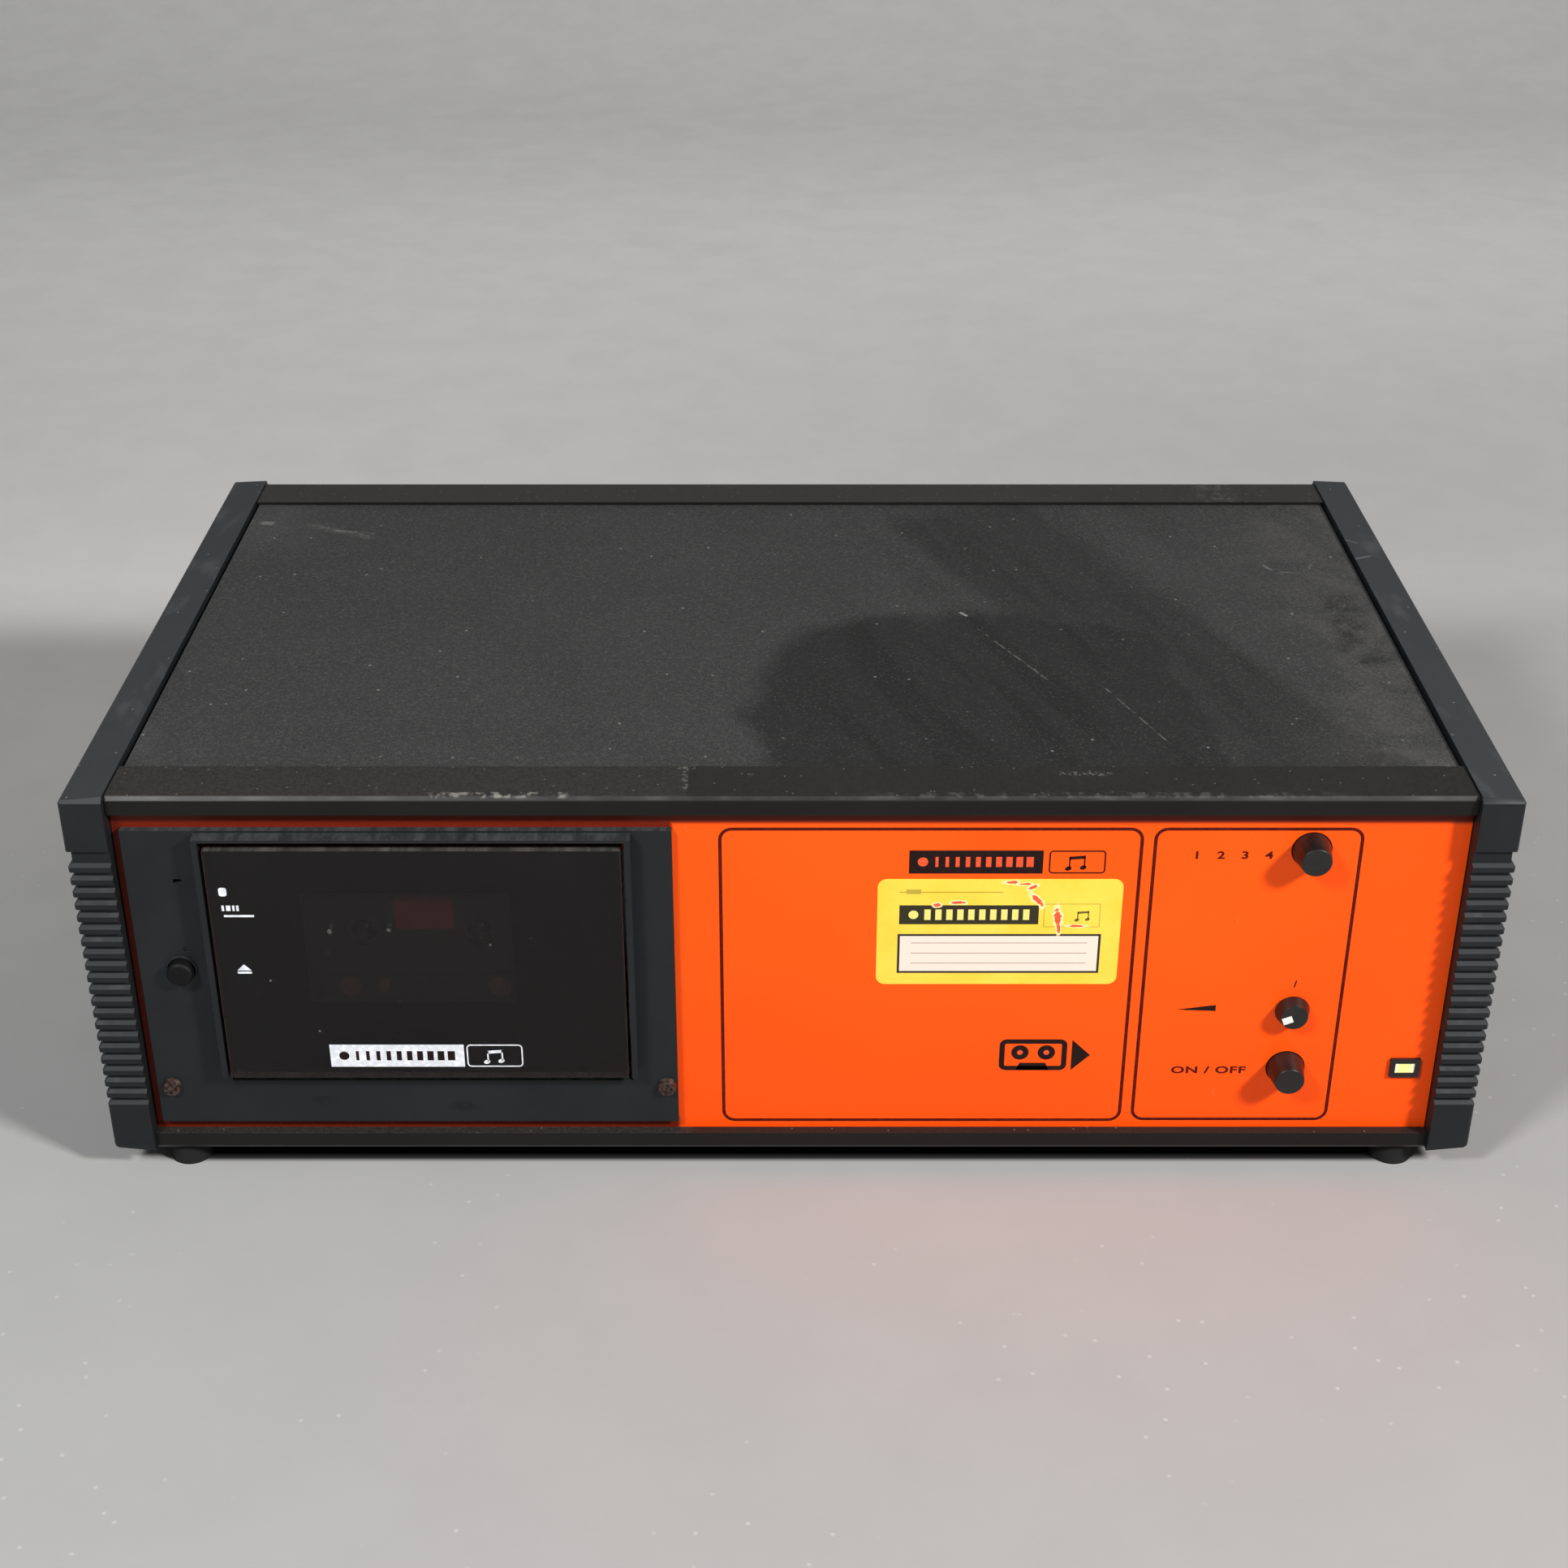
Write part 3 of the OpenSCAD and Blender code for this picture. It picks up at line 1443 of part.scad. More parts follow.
// Mains inlet: a recess with three flat pins, its flange on the outside of the rear panel
module mains_inlet() {
  out = rear_panel_out + inlet_flange_t;
  body = [inlet_hole[0] + 2 * inlet_wall, inlet_hole[1] + 2 * inlet_wall];
  color("#161616") translate([inlet_x, 0, inlet_z]) {
    difference() {
      union() {
        translate([-inlet_flange[0] / 2, rear_panel_out, -inlet_flange[1] / 2])
          cube([inlet_flange[0], inlet_flange_t, inlet_flange[1]]);
        translate([-body[0] / 2, out - inlet_depth - inlet_wall, -body[1] / 2])
          cube([body[0], inlet_depth + inlet_wall - 0.5, body[1]]);
      }
      translate([-inlet_hole[0] / 2, out - inlet_depth, -inlet_hole[1] / 2])
        cube([inlet_hole[0], inlet_depth + 1, inlet_hole[1]]);
    }
    for (p = pin_points)
      translate([p[0] - pin_size[1] / 2, out - inlet_depth - 0.5, p[1] - pin_size[0] / 2])
        cube([pin_size[1], pin_len + 0.5, pin_size[0]]);
  }
}

// Screw terminals for the loudspeaker line
module speaker_terminals() {
  length = terminal_count * terminal_pitch + 4;
  cells = [for (k = [0 : terminal_count - 1]) (k - (terminal_count - 1) / 2) * terminal_pitch];
  color("#1b1b1b") translate([terminal_x, rear_panel_out, terminal_z]) {
    difference() {
      translate([-length / 2, 0, -terminal_h / 2]) cube([length, terminal_deep, terminal_h]);
      for (x = cells)
        translate([x - terminal_cell[0] / 2, terminal_floor, -terminal_cell[1] / 2])
          cube([terminal_cell[0], terminal_deep, terminal_cell[1]]);
    }
    for (x = cells)
      translate([x, terminal_floor - 0.2, 0]) along_y(terminal_screw_r, terminal_screw_t + 0.2);
  }
}

// Round sockets for the programme inputs
module input_sockets() {
  color("#8d8f90") for (k = [0 : socket_count - 1])
    translate([socket_x - k * socket_pitch, 0, socket_z]) difference() {
      union() {
        translate([0, rear_panel_out, 0]) along_y(socket_flange_r, socket_flange_t);
        translate([0, rear_panel_out - socket_l, 0]) along_y(socket_r, socket_l + 1);
      }
      for (a = [0 : 45 : 180]) rotate([0, -a, 0])
        translate([socket_ring_r, rear_panel_out - socket_pin_l, 0])
          along_y(socket_pin_r, socket_pin_l + socket_flange_t + 1);
    }
}

in_case() left_cheek();
in_case() right_cheek();
in_case() front_top_rail();
in_case() front_bottom_rail();
in_case() rear_top_rail();
in_case() rear_bottom_rail();
in_case() cheek_screws();
in_case() top_cover();
in_case() bottom_cover();
in_case() front_panel();
in_case() rear_panel();
in_case() rubber_feet();
in_case() foot_screws();
in_case() deck_bezel();
in_case() bezel_screws();
in_case() deck_chassis();
in_case() capstan_bearings();
in_case() deck_motor();
in_case() drive_belt();
in_case() reel_belts();
in_case() door_pane();
in_case() cassette_holder();
in_case() cassette_front_shell();
in_case() cassette_rear_shell();
in_case() left_hub();
in_case() left_tape_pack();
in_case() right_hub();
in_case() right_tape_pack();
in_case() left_spindle();
in_case() right_spindle();
in_case() left_flywheel();
in_case() right_flywheel();
in_case() motor_pulley();
in_case() head_plate();
in_case() tape_head();
in_case() left_pinch_arm();
in_case() right_pinch_arm();
in_case() left_pinch_roller();
in_case() right_pinch_roller();
in_case() eject_button();
in_case() eject_spring();
in_case() track_button();
in_case() track_switch();
in_case() power_button();
in_case() power_switch();
in_case() volume_knob();
in_case() volume_shaft();
in_case() volume_pot();
in_case() lamp_bezel();
in_case() lamp_lens();
in_case() control_board();
in_case() mains_transformer();
in_case() line_transformer();
in_case() amplifier_board();
in_case() smoothing_capacitors();
in_case() heat_sink();
in_case() power_transistors();
in_case() mains_inlet();
in_case() speaker_terminals();
in_case() input_sockets();
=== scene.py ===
"""Cassette player and amplifier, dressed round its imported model. Places on it are written in
millimetres from the middle of its footprint, and reach Blender in metres."""
import math

import bpy
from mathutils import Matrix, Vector


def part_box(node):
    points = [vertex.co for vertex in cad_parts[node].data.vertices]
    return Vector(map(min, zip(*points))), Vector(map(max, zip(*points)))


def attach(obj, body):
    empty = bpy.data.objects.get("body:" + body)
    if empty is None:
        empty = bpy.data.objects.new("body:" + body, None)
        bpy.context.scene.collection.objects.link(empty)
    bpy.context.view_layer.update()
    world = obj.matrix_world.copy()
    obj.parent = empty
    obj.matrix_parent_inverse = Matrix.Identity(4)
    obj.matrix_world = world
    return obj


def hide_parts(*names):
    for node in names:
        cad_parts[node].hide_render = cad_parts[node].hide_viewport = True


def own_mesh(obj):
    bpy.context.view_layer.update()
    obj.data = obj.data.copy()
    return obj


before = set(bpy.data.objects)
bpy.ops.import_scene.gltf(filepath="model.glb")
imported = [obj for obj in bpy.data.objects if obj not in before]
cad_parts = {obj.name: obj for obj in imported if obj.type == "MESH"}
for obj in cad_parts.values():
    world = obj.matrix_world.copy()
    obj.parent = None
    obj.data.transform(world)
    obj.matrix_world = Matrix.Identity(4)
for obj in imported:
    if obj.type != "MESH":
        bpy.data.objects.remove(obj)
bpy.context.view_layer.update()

mm = 0.001

# Table, lamps and camera
# A pale seamless sheet lies under the case and curves up far behind it. Two soft lamps stand on
# both sides of the camera, the stronger one on the right, and a little light comes from above.

camera = bpy.data.objects.new("camera", bpy.data.cameras.new("camera"))
camera.location = (-2.8 * mm, -879.85 * mm, 570.3 * mm)
camera.rotation_euler = (math.radians(61.30), 0, 0)
camera.data.lens = 54.09
camera.data.sensor_width = 36
camera.data.clip_start = 0.01
bpy.context.scene.collection.objects.link(camera)
bpy.context.scene.camera = camera


class Tone:
    """A socket in a finish, so that masks are written as plain sums."""

    def __init__(self, finish, socket):
        self.finish, self.socket = finish, socket

    def other(self, index):
        return Tone(self.finish, self.socket.node.outputs[index])

    def maths(self, operation, first, second):
        return self.finish.node("Math", {"operation": operation}, {0: first, 1: second})

    def __add__(self, other):
        return self.maths("ADD", self, other)

    def __sub__(self, other):
        return self.maths("SUBTRACT", self, other)

    def __rsub__(self, other):
        return self.maths("SUBTRACT", other, self)

    def __mul__(self, other):
        return self.maths("MULTIPLY", self, other)

    def __truediv__(self, other):
        return self.maths("DIVIDE", self, other)

    def __mod__(self, other):
        return self.maths("FLOORED_MODULO", self, other)

    def __abs__(self):
        return self.maths("ABSOLUTE", self, 0.0)

    __radd__ = __add__
    __rmul__ = __mul__

    def root(self):
        return self.maths("SQRT", self, 0.0)

    def least(self, other):
        return self.maths("MINIMUM", self, other)

    def most(self, other):
        return self.maths("MAXIMUM", self, other)

    def rise(self, start, end):
        """0 below start and 1 above end, smooth between; it falls where end is below start."""
        if end < start:
            return 1 - self.rise(end, start)
        return self.finish.node(
            "MapRange", {"interpolation_type": "SMOOTHSTEP"},
            {"Value": self, "From Min": start, "From Max": end})

    def near(self, middle, half, soft):
        """1 within half of the middle, falling to 0 over soft."""
        return abs(self - middle).rise(half + soft, half)

    def span(self, low, high, soft=0.05):
        """1 from low to high, with edges as crisp as print."""
        return self.near((low + high) / 2, (high - low) / 2 - soft / 2, soft)


class Finish:
    """A procedural finish of one surface, or the light of the room."""

    def __init__(self, name, room=None):
        self.material = room or bpy.data.materials.new(name)
        self.material.use_nodes = True
        self.tree = self.material.node_tree
        self.tree.nodes.clear()
        self.point = None

    def node(self, kind, settings, sockets, out=0):
        """The one way in which a node is made: its type, its settings, then its sockets."""
        made = self.tree.nodes.new("ShaderNode" + kind)
        for name, value in settings.items():
            setattr(made, name, value)
        for name, value in sockets.items():
            if isinstance(value, Tone):
                self.tree.links.new(value.socket, made.inputs[name])
            else:
                made.inputs[name].default_value = value
        return Tone(self, made.outputs[out]) if made.outputs else None

    def place(self):
        """The point on the surface, in millimetres from the middle of the case's footprint."""
        if self.point is None:
            spot = self.node("TexCoord", {}, {}, out="Object")
            self.point = self.node("VectorMath", {"operation": "SCALE"}, {0: spot, "Scale": 1000.0})
        return self.point

    def axes(self):
        x = self.node("SeparateXYZ", {}, {0: self.place()})
        return x, x.other(1), x.other(2)

    def facing(self, axis=2):
        """How far the surface faces right (0), back (1) or up (2)."""
        normal = self.node("TexCoord", {}, {}, out="Normal")
        return self.node("SeparateXYZ", {}, {0: normal}, out=axis)

    def stretched(self, x, y, z, turn=0.0):
        point = self.place()
        if turn:
            point = self.node("VectorRotate", {"rotation_type": "Z_AXIS"},
                              {"Vector": point, "Angle": math.radians(turn)})
        return self.node("VectorMath", {"operation": "MULTIPLY"}, {0: point, 1: (x, y, z)})

    def noise(self, scale, detail=2.0, rough=0.5, warp=0.0, at=None):
        """Cloudy noise from 0 to 1, with its scale in cells per millimetre."""
        return self.node("TexNoise", {}, {
            "Vector": at or self.place(), "Scale": scale, "Detail": detail, "Roughness": rough,
            "Distortion": warp})

    def cells(self, scale, feature="F1", flat="3D"):
        """Distance to the nearest of scattered points, for grain and specks; 2D sees x and y."""
        return self.node("TexVoronoi", {"feature": feature, "voronoi_dimensions": flat},
                         {"Vector": self.place(), "Scale": scale})

    def spot(self, across, along, middle, reach):
        """Distance from the middle of an oval, measured on two axes; it is 1 at the rim."""
        wide = (across - middle[0]) / reach[0]
        high = (along - middle[1]) / reach[1]
        return (wide * wide + high * high).root()

    def stroke(self, start, end, half, soft):
        """A straight mark between two points, seen from above."""
        x, y, z = self.axes()
        length = math.dist(start, end)
        dx, dy = (end[0] - start[0]) / length, (end[1] - start[1]) / length
        along = (x - start[0]) * dx + (y - start[1]) * dy
        across = (y - start[1]) * dx - (x - start[0]) * dy
        return along.near(length / 2, length / 2, 2 * soft) * across.near(0.0, half, soft)

    def blend(self, share, first, second):
        return self.node("Mix", {"data_type": "RGBA"}, {0: share, 6: first, 7: second}, out=2)

    def bump(self, height, depth, strength=1.0):
        return self.node("Bump", {},
                         {"Height": height, "Distance": depth * mm, "Strength": strength})

    def surface(self, colour, rough, normal=None, **others):
        """Joins the colour, roughness and bump to the shader, and sets its other sockets."""
        sockets = {"Base Color": colour, "Roughness": rough}
        if normal:
            sockets["Normal"] = normal
        for name, value in others.items():
            sockets[name.replace("_", " ")] = value
        shader = self.node("BsdfPrincipled", {}, sockets)
        self.node("OutputMaterial", {}, {"Surface": shader})


def ink(red, green, blue):
    """A colour as a screen shows it, from 0 to 255, turned into linear light."""
    def linear(value):
        value /= 255
        return value / 12.92 if value <= 0.04045 else ((value + 0.055) / 1.055) ** 2.4
    return linear(red), linear(green), linear(blue), 1.0


def piece(name, verts, faces, finish, smooth=False):
    """A mesh piece from its points, in metres, and its faces."""
    mesh = bpy.data.meshes.new(name)
    mesh.from_pydata(verts, [], faces)
    mesh.materials.append(finish.material)
    mesh.polygons.foreach_set("use_smooth", [smooth] * len(mesh.polygons))
    made = bpy.data.objects.new(name, mesh)
    bpy.context.scene.collection.objects.link(made)
    return made


paper = Finish("table_paper")
x, y, z = paper.axes()
mottle = paper.noise(0.02, 5.0, 0.6)
deep, right = y.rise(-230.0, 420.0), x.rise(-420.0, 420.0)
near_tone = paper.blend(right, ink(164, 164, 163), ink(157, 155, 154))
far_tone = paper.blend(right, ink(198, 196, 193), ink(173, 172, 170))
tone = paper.blend(deep, near_tone, far_tone)
back_tone = paper.blend(right, ink(213, 211, 209), ink(189, 187, 186))
tone = paper.blend(y.rise(330.0, 430.0), tone, back_tone)
tone = paper.blend(y.rise(440.0, 1300.0), tone, ink(248, 247, 246))
# Painted shade: the paper under the case is painted nearly black, standing in for the shade beneath
# it.
painted_contact_shade = y.rise(-145.5, -142.0) * abs(x).rise(242.0, 238.0) * y.rise(145.0, 142.0)
tone = paper.blend(mottle.rise(0.35, 0.65) * 0.05, tone, ink(120, 118, 116))
dark_blot = paper.noise(0.006, 4.0, 0.6).rise(0.55, 0.75)
tone = paper.blend(dark_blot * 0.06, tone, ink(120, 118, 116))
crumb = paper.cells(0.05, flat="2D").rise(0.05, 0.02) * paper.noise(0.01).rise(0.5, 0.6)
tone = paper.blend(crumb * 0.35, tone, ink(205, 204, 203))
tone = paper.blend(painted_contact_shade, tone, ink(34, 33, 33))
sheet = paper.node("BsdfPrincipled", {}, {
    "Base Color": tone, "Roughness": 0.8, "Specular IOR Level": 0.15})
clear = paper.node("BsdfTransparent", {}, {})
beneath = paper.node("NewGeometry", {}, {}, out="Backfacing")
paper.node("OutputMaterial", {}, {
    "Surface": paper.node("MixShader", {}, {0: beneath, 1: sheet, 2: clear})})

sheet_half, sheet_front, sheet_rear, sheet_turn, sheet_top = 4.0, -3.0, 1.6, 1.2, 3.2
bend_steps = 24
profile = [(sheet_front, 0.0)]
for step in range(bend_steps + 1):
    turn = math.radians(90 * step / bend_steps)
    profile.append((sheet_rear + sheet_turn * math.sin(turn), sheet_turn * (1 - math.cos(turn))))
profile.append((sheet_rear + sheet_turn, sheet_top))
verts = [(side * sheet_half, back, up) for back, up in profile for side in (-1, 1)]
faces = [(2 * i, 2 * i + 1, 2 * i + 3, 2 * i + 2) for i in range(len(profile) - 1)]
piece("table_sheet", verts, faces, paper, smooth=True)


def lamp(name, spot, size, power, colour):
    """A soft square lamp at a spot in metres, turned to the front of the case."""
    data = bpy.data.lights.new(name, "AREA")
    data.shape, data.size, data.energy, data.color = "SQUARE", size, power, colour
    made = bpy.data.objects.new(name, data)
    made.location = spot
    towards = made.location - Vector((0, -0.1, 0.08))
    made.rotation_euler = towards.to_track_quat("Z", "Y").to_euler()
    bpy.context.scene.collection.objects.link(made)


lamp("right_lamp", (1.233, -1.038, 1.179), 0.23, 41.0, (1.0, 0.99, 0.975))
lamp("left_lamp", (-0.75, -1.05, 1.20), 0.27, 18.5, (0.985, 0.99, 1.0))
sky = bpy.data.worlds.new("room")
room = Finish("room", sky)
rays = room.node("LightPath", {}, {}, out="Is Camera Ray")
seen = rays.most(Tone(room, rays.socket.node.outputs["Is Transmission Ray"]))
shine = Tone(room, rays.socket.node.outputs["Is Glossy Ray"])
height = room.node("SeparateXYZ", {}, {0: room.node("TexCoord", {}, {}, out="Generated")}, out=2)
low = room.node("Background", {}, {"Color": (0.97, 0.98, 1.0, 1), "Strength": 0.04})
high = room.node("Background", {}, {"Color": (0.97, 0.98, 1.0, 1), "Strength": 0.2})
wall = room.node("Background", {}, {"Color": (0.45, 0.45, 0.45, 1), "Strength": 1.0})
glance = room.node("Background", {}, {"Color": (0.25, 0.25, 0.25, 1), "Strength": 1.0})
light = room.node("MixShader", {}, {0: height.rise(0.3, 0.8), 1: low, 2: high})
light = room.node("MixShader", {}, {0: shine, 1: light, 2: glance})
room.node("OutputWorld", {}, {"Surface": room.node("MixShader", {}, {0: seen, 1: light, 2: wall})})
bpy.context.scene.world = sky
bpy.context.scene.view_settings.view_transform = "Standard"

# Side cheeks
# Thick mouldings in blue-black plastic with a fine eroded grain and ribs round their edges,
# held to the rails by screws from outside. Dust lies on top, and hands have polished the ribs;
# their crests are also painted lighter as painted sheen.


def dress(finish, *names):
    """Gives CAD pieces their finish."""
    for name in names:
        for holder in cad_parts[name].material_slots:
            holder.material = finish.material


def soften(width, segments, *names):
    """Takes the sharpness off the edges of CAD pieces, as a mould or a press tool does."""
    for name in names:
        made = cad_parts[name]
        weld = made.modifiers.new("weld", "WELD")
        weld.merge_threshold = 0.002 * mm
        flat = made.modifiers.new("flat", "DECIMATE")
        flat.decimate_type, flat.angle_limit = "DISSOLVE", math.radians(1)
        bevel = made.modifiers.new("bevel", "BEVEL")
        bevel.width, bevel.segments = width * mm, segments
        bevel.limit_method, bevel.angle_limit = "ANGLE", math.radians(30)
        bevel.harden_normals = True


cheek = Finish("cheek_plastic")
x, y, z = cheek.axes()
up = cheek.facing().rise(0.6, 0.95)
cloud = cheek.noise(0.03, 4.0, 0.6)
crest = abs(x).rise(259.5, 259.95).most(abs(y + 1.45).rise(153.5, 153.95))
tone = cheek.blend(cloud.rise(0.35, 0.7), ink(21, 24, 26), ink(26, 29, 31))
# Painted sheen: the rib crests are painted lighter as well as made glossier.
polish_and_sheen = crest * cheek.noise(0.4, 3.0).rise(0.3, 0.7)
tone = cheek.blend(polish_and_sheen * 0.16, tone, ink(52, 55, 58))
streak = cheek.noise(0.09, 3.0, 0.6, at=cheek.stretched(1, 0.35, 1)).rise(0.52, 0.75)
tone = cheek.blend(up * (0.17 + streak * 0.18), tone, ink(98, 100, 103))
speck = cheek.cells(0.05, flat="2D").rise(0.03, 0.012) * up
tone = cheek.blend(speck * 0.45, tone, ink(150, 150, 150))
scrape = cheek.stroke((241.5, 60.0), (252.0, 66.0), 0.25, 0.4)
scrape = scrape.most(cheek.stroke((243.0, 84.0), (249.0, 80.0), 0.2, 0.35))
tone = cheek.blend(scrape * up * 0.22, tone, ink(170, 172, 175))
grain = cheek.noise(2.2, 2.0, 0.6)
cheek.surface(tone, 0.44 + cloud * 0.12 + up * 0.1 - polish_and_sheen * 0.1, cheek.bump(grain, 0.05, 0.5),
              Specular_IOR_Level=0.28)
dress(cheek, "left_cheek", "right_cheek")
soften(0.2, 2, "left_cheek", "right_cheek")

# Case rails
# Four aluminium extrusions painted satin black and cut to length. The paint has worn thin along
# the upper front edge, and a strip that was once taped over has stayed cleaner.

rail = Finish("rail_paint")
x, y, z = rail.axes()
up = rail.facing().rise(0.6, 0.95)
cloud = rail.noise(0.02, 4.0, 0.6)
tone = rail.blend(cloud.rise(0.3, 0.7), ink(18, 17, 16), ink(22, 21, 20))
front = y.rise(-100.0, -101.0)
taped = x.rise(-38.0, -37.3) * front
film = up * (1 - taped * 0.55) * (0.075 + rail.noise(0.9, 2.0).rise(0.3, 0.75) * 0.12)
tone = rail.blend(film, tone, ink(100, 98, 93))
edge = y.near(-149.2, 0.5, 0.4) * z.rise(163.6, 164.1)
thin = edge * (0.06 + rail.noise(0.05, 3.0, at=rail.stretched(1, 0, 0)).rise(0.4, 0.7) * 0.16)
tone = rail.blend(thin, tone, ink(120, 120, 118))
rub = rail.noise(0.3, 2.0, 0.55, at=rail.stretched(1, 0.8, 0.8))
chips = y.near(-147.5, 1.0, 0.9) * z.rise(164.0, 164.6) * rub.rise(0.47, 0.66)
chips = chips * x.near(-104.0, 21.0, 6.0).most(x.near(112.0, 55.0, 40.0) * 0.2)
tone = rail.blend(chips * 0.5, tone, ink(160, 157, 148))
fleck = rail.cells(0.08, flat="2D").rise(0.04, 0.02) * up
tone = rail.blend(fleck * 0.3, tone, ink(140, 138, 130))
residue = rail.noise(0.55, 4.0, 0.7).rise(0.50, 0.58)
glue = x.near(-38.4, 0.7, 0.8) * y.rise(-146.0, -144.0)
glue = glue.most(x.near(-38.2, 2.6, 1.0) * y.near(-127.4, 1.0, 0.8))
glue = glue.most(x.near(106.0, 7.5, 3.0) * y.near(-132.2, 1.0, 0.9))
glue = glue.most(x.near(-14.8, 0.8, 0.6) * y.near(-133.2, 0.6, 0.6)) * up * front
smear = x.near(197.0, 6.0, 5.0) * up * rail.noise(0.2, 4.0, 0.7).rise(0.45, 0.65) * (1 - front)
tone = rail.blend((glue * residue * 0.28).most(smear * 0.12), tone, ink(150, 146, 138))
rail.surface(tone, 0.42 + film * 0.9 - thin * 0.15, rail.bump(rail.noise(1.5, 2.0), 0.02, 0.4),
             Specular_IOR_Level=0.22)
rails = ("front_top_rail", "front_bottom_rail", "rear_top_rail", "rear_bottom_rail")
dress(rail, *rails)
soften(0.55, 3, *rails)

# Top and bottom covers
# Steel sheets laminated with fine leather-grain vinyl and slid into grooves of the rails. Dust
# fills the grain, hands have wiped a patch at the front, and cases pushed across left streaks.

cover = Finish("cover_vinyl")
x, y, z = cover.axes()
grain = cover.cells(1.05, "SMOOTH_F1")
fine = cover.noise(1.6, 3.0, 0.65)
cloud = cover.noise(0.013, 5.0, 0.6, 0.4)
dust = 0.185 + cloud.rise(0.35, 0.65) * 0.05
patch_x, patch_y, patch_wide, patch_deep = 74.0, -86.0, 92.0, 98.0
oval_patch = cover.spot(x, y, (patch_x, patch_y), (patch_wide, patch_deep))
square_patch = (abs(x - patch_x) / patch_wide).most(abs(y - patch_y) / patch_deep)
patch = (oval_patch + square_patch) / 2 + (cover.noise(0.022, 4.0, 0.6) - 0.5) * 0.4
sweep = cover.stroke((80.0, 110.0), (194.0, -138.0), 28.0, 13.0)
wiped = patch.rise(1.05, 0.9).most(sweep * 0.7)
dust = dust * (1 - wiped * 0.8)
left = 1 - wiped * 0.6
slide = cover.noise(0.03, 3.0, 0.55, at=cover.stretched(0.2, 2.2, 1.0, 70.0))
dust = dust - slide.rise(0.48, 0.6) * x.near(105.0, 60.0, 60.0) * 0.05
rubbed = cover.noise(0.12, 4.0, 0.6, at=cover.stretched(0.12, 2.2, 1.0, 70.0)).rise(0.58, 0.78)
dust = dust + rubbed * x.near(120.0, 50.0, 60.0) * 0.05
corner = x.rise(176.0, 236.0) * cover.noise(0.035, 5.0, 0.65, 0.8).rise(0.36, 0.64)
dust = dust + corner * 0.17
palm = x.near(229.0, 4.0, 7.0) * y.near(-6.0, 28.0, 14.0)
dust = dust - palm * cover.noise(0.12, 3.0).rise(0.4, 0.6) * 0.26
settled = x.rise(-205.0, -243.0) * abs(y).rise(55.0, 118.0) * cloud.rise(0.3, 0.55)
dust = dust + settled * 0.2
tone = cover.blend(dust, ink(20, 20, 20), ink(90, 90, 90))
tone = cover.blend(corner * 0.12, tone, ink(94, 84, 80))
coarse = cover.noise(0.6, 3.0, 0.72)
tone = cover.blend(coarse.rise(0.5, 0.68) * left * 0.3, tone, ink(98, 97, 94))
tone = cover.blend(coarse.rise(0.48, 0.32) * left * 0.3, tone, ink(24, 24, 24))
tone = cover.blend(fine.rise(0.42, 0.62) * left * 0.3, tone, ink(84, 84, 84))
tone = cover.blend(fine.rise(0.5, 0.34) * left * 0.45, tone, ink(24, 24, 24))
thick = cover.noise(0.05, 3.0, 0.7).rise(0.5, 0.62)
speck = cover.cells(0.045, flat="2D").rise(0.035, 0.012) * thick
tone = cover.blend(speck * 0.6, tone, ink(150, 149, 146))
dot = cover.cells(0.25, flat="2D").rise(0.12, 0.04) * cover.noise(0.05).rise(0.42, 0.6)
tone = cover.blend(dot * 0.25, tone, ink(110, 109, 106))
broken = cover.noise(0.25, 3.0, 0.6).rise(0.42, 0.6)
scratch_half, scratch_soft, scratch_share = 0.1, 0.5, 0.3
mark = cover.stroke((76.5, -5.2), (100.3, -52.5), scratch_half, scratch_soft)
mark = mark.most(cover.stroke((122.2, -60.3), (140.3, -105.7), scratch_half, scratch_soft))
nick = cover.stroke((70.4, 10.6), (72.6, 7.6), 0.35, scratch_soft) * 0.8
mark = (mark * scratch_share * broken).most(nick)
bow_middle, bow_r = (214.9, 62.6), 10.6
bow = cover.spot(x, y, bow_middle, (1.0, 1.0)).near(bow_r, 0.2, 0.9) * y.rise(64.0, 58.0)
mark = mark.most(bow * scratch_share * broken)
blob = cover.spot(x, y, (-235.3, 107.4), (4.2, 2.8)) + (cover.noise(0.5, 3.0) - 0.5) * 1.2
mark = mark.most(blob.rise(1.1, 0.4) * 0.3)
fluff_start, fluff_end = (-214.7, 104.5), (-187.2, 91.4)
haze = cover.stroke(fluff_start, fluff_end, 1.2, 2.6) * fine.rise(0.4, 0.65)
mark = mark.most(haze * 0.16)
tone = cover.blend(mark * 0.6, tone, ink(180, 178, 174))
cover.surface(tone, 0.62 + dust * 0.3, cover.bump(grain + fine * 0.5, 0.08, 0.6),
              Specular_IOR_Level=0.25)
dress(cover, "top_cover", "bottom_cover")

# Fluff on the top cover
# A short curl of pale lint and a loose hair that settled on the vinyl.


def thread(name, points, radius, finish):
    """A thin round thread along its points, in millimetres."""
    curve = bpy.data.curves.new(name, "CURVE")
    curve.dimensions, curve.bevel_depth, curve.bevel_resolution = "3D", radius * mm, 1
    line = curve.splines.new("NURBS")
    line.points.add(len(points) - 1)
    for spot, (px, py, pz) in zip(line.points, points):
        spot.co = (px * mm, py * mm, pz * mm, 1)
    line.use_endpoint_u, line.order_u = True, 4
    curve.materials.append(finish.material)
    made = bpy.data.objects.new(name, curve)
    bpy.context.scene.collection.objects.link(made)
    return made


def settle(made, body):
    """Lets a new piece ride its body."""
    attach(made, body)


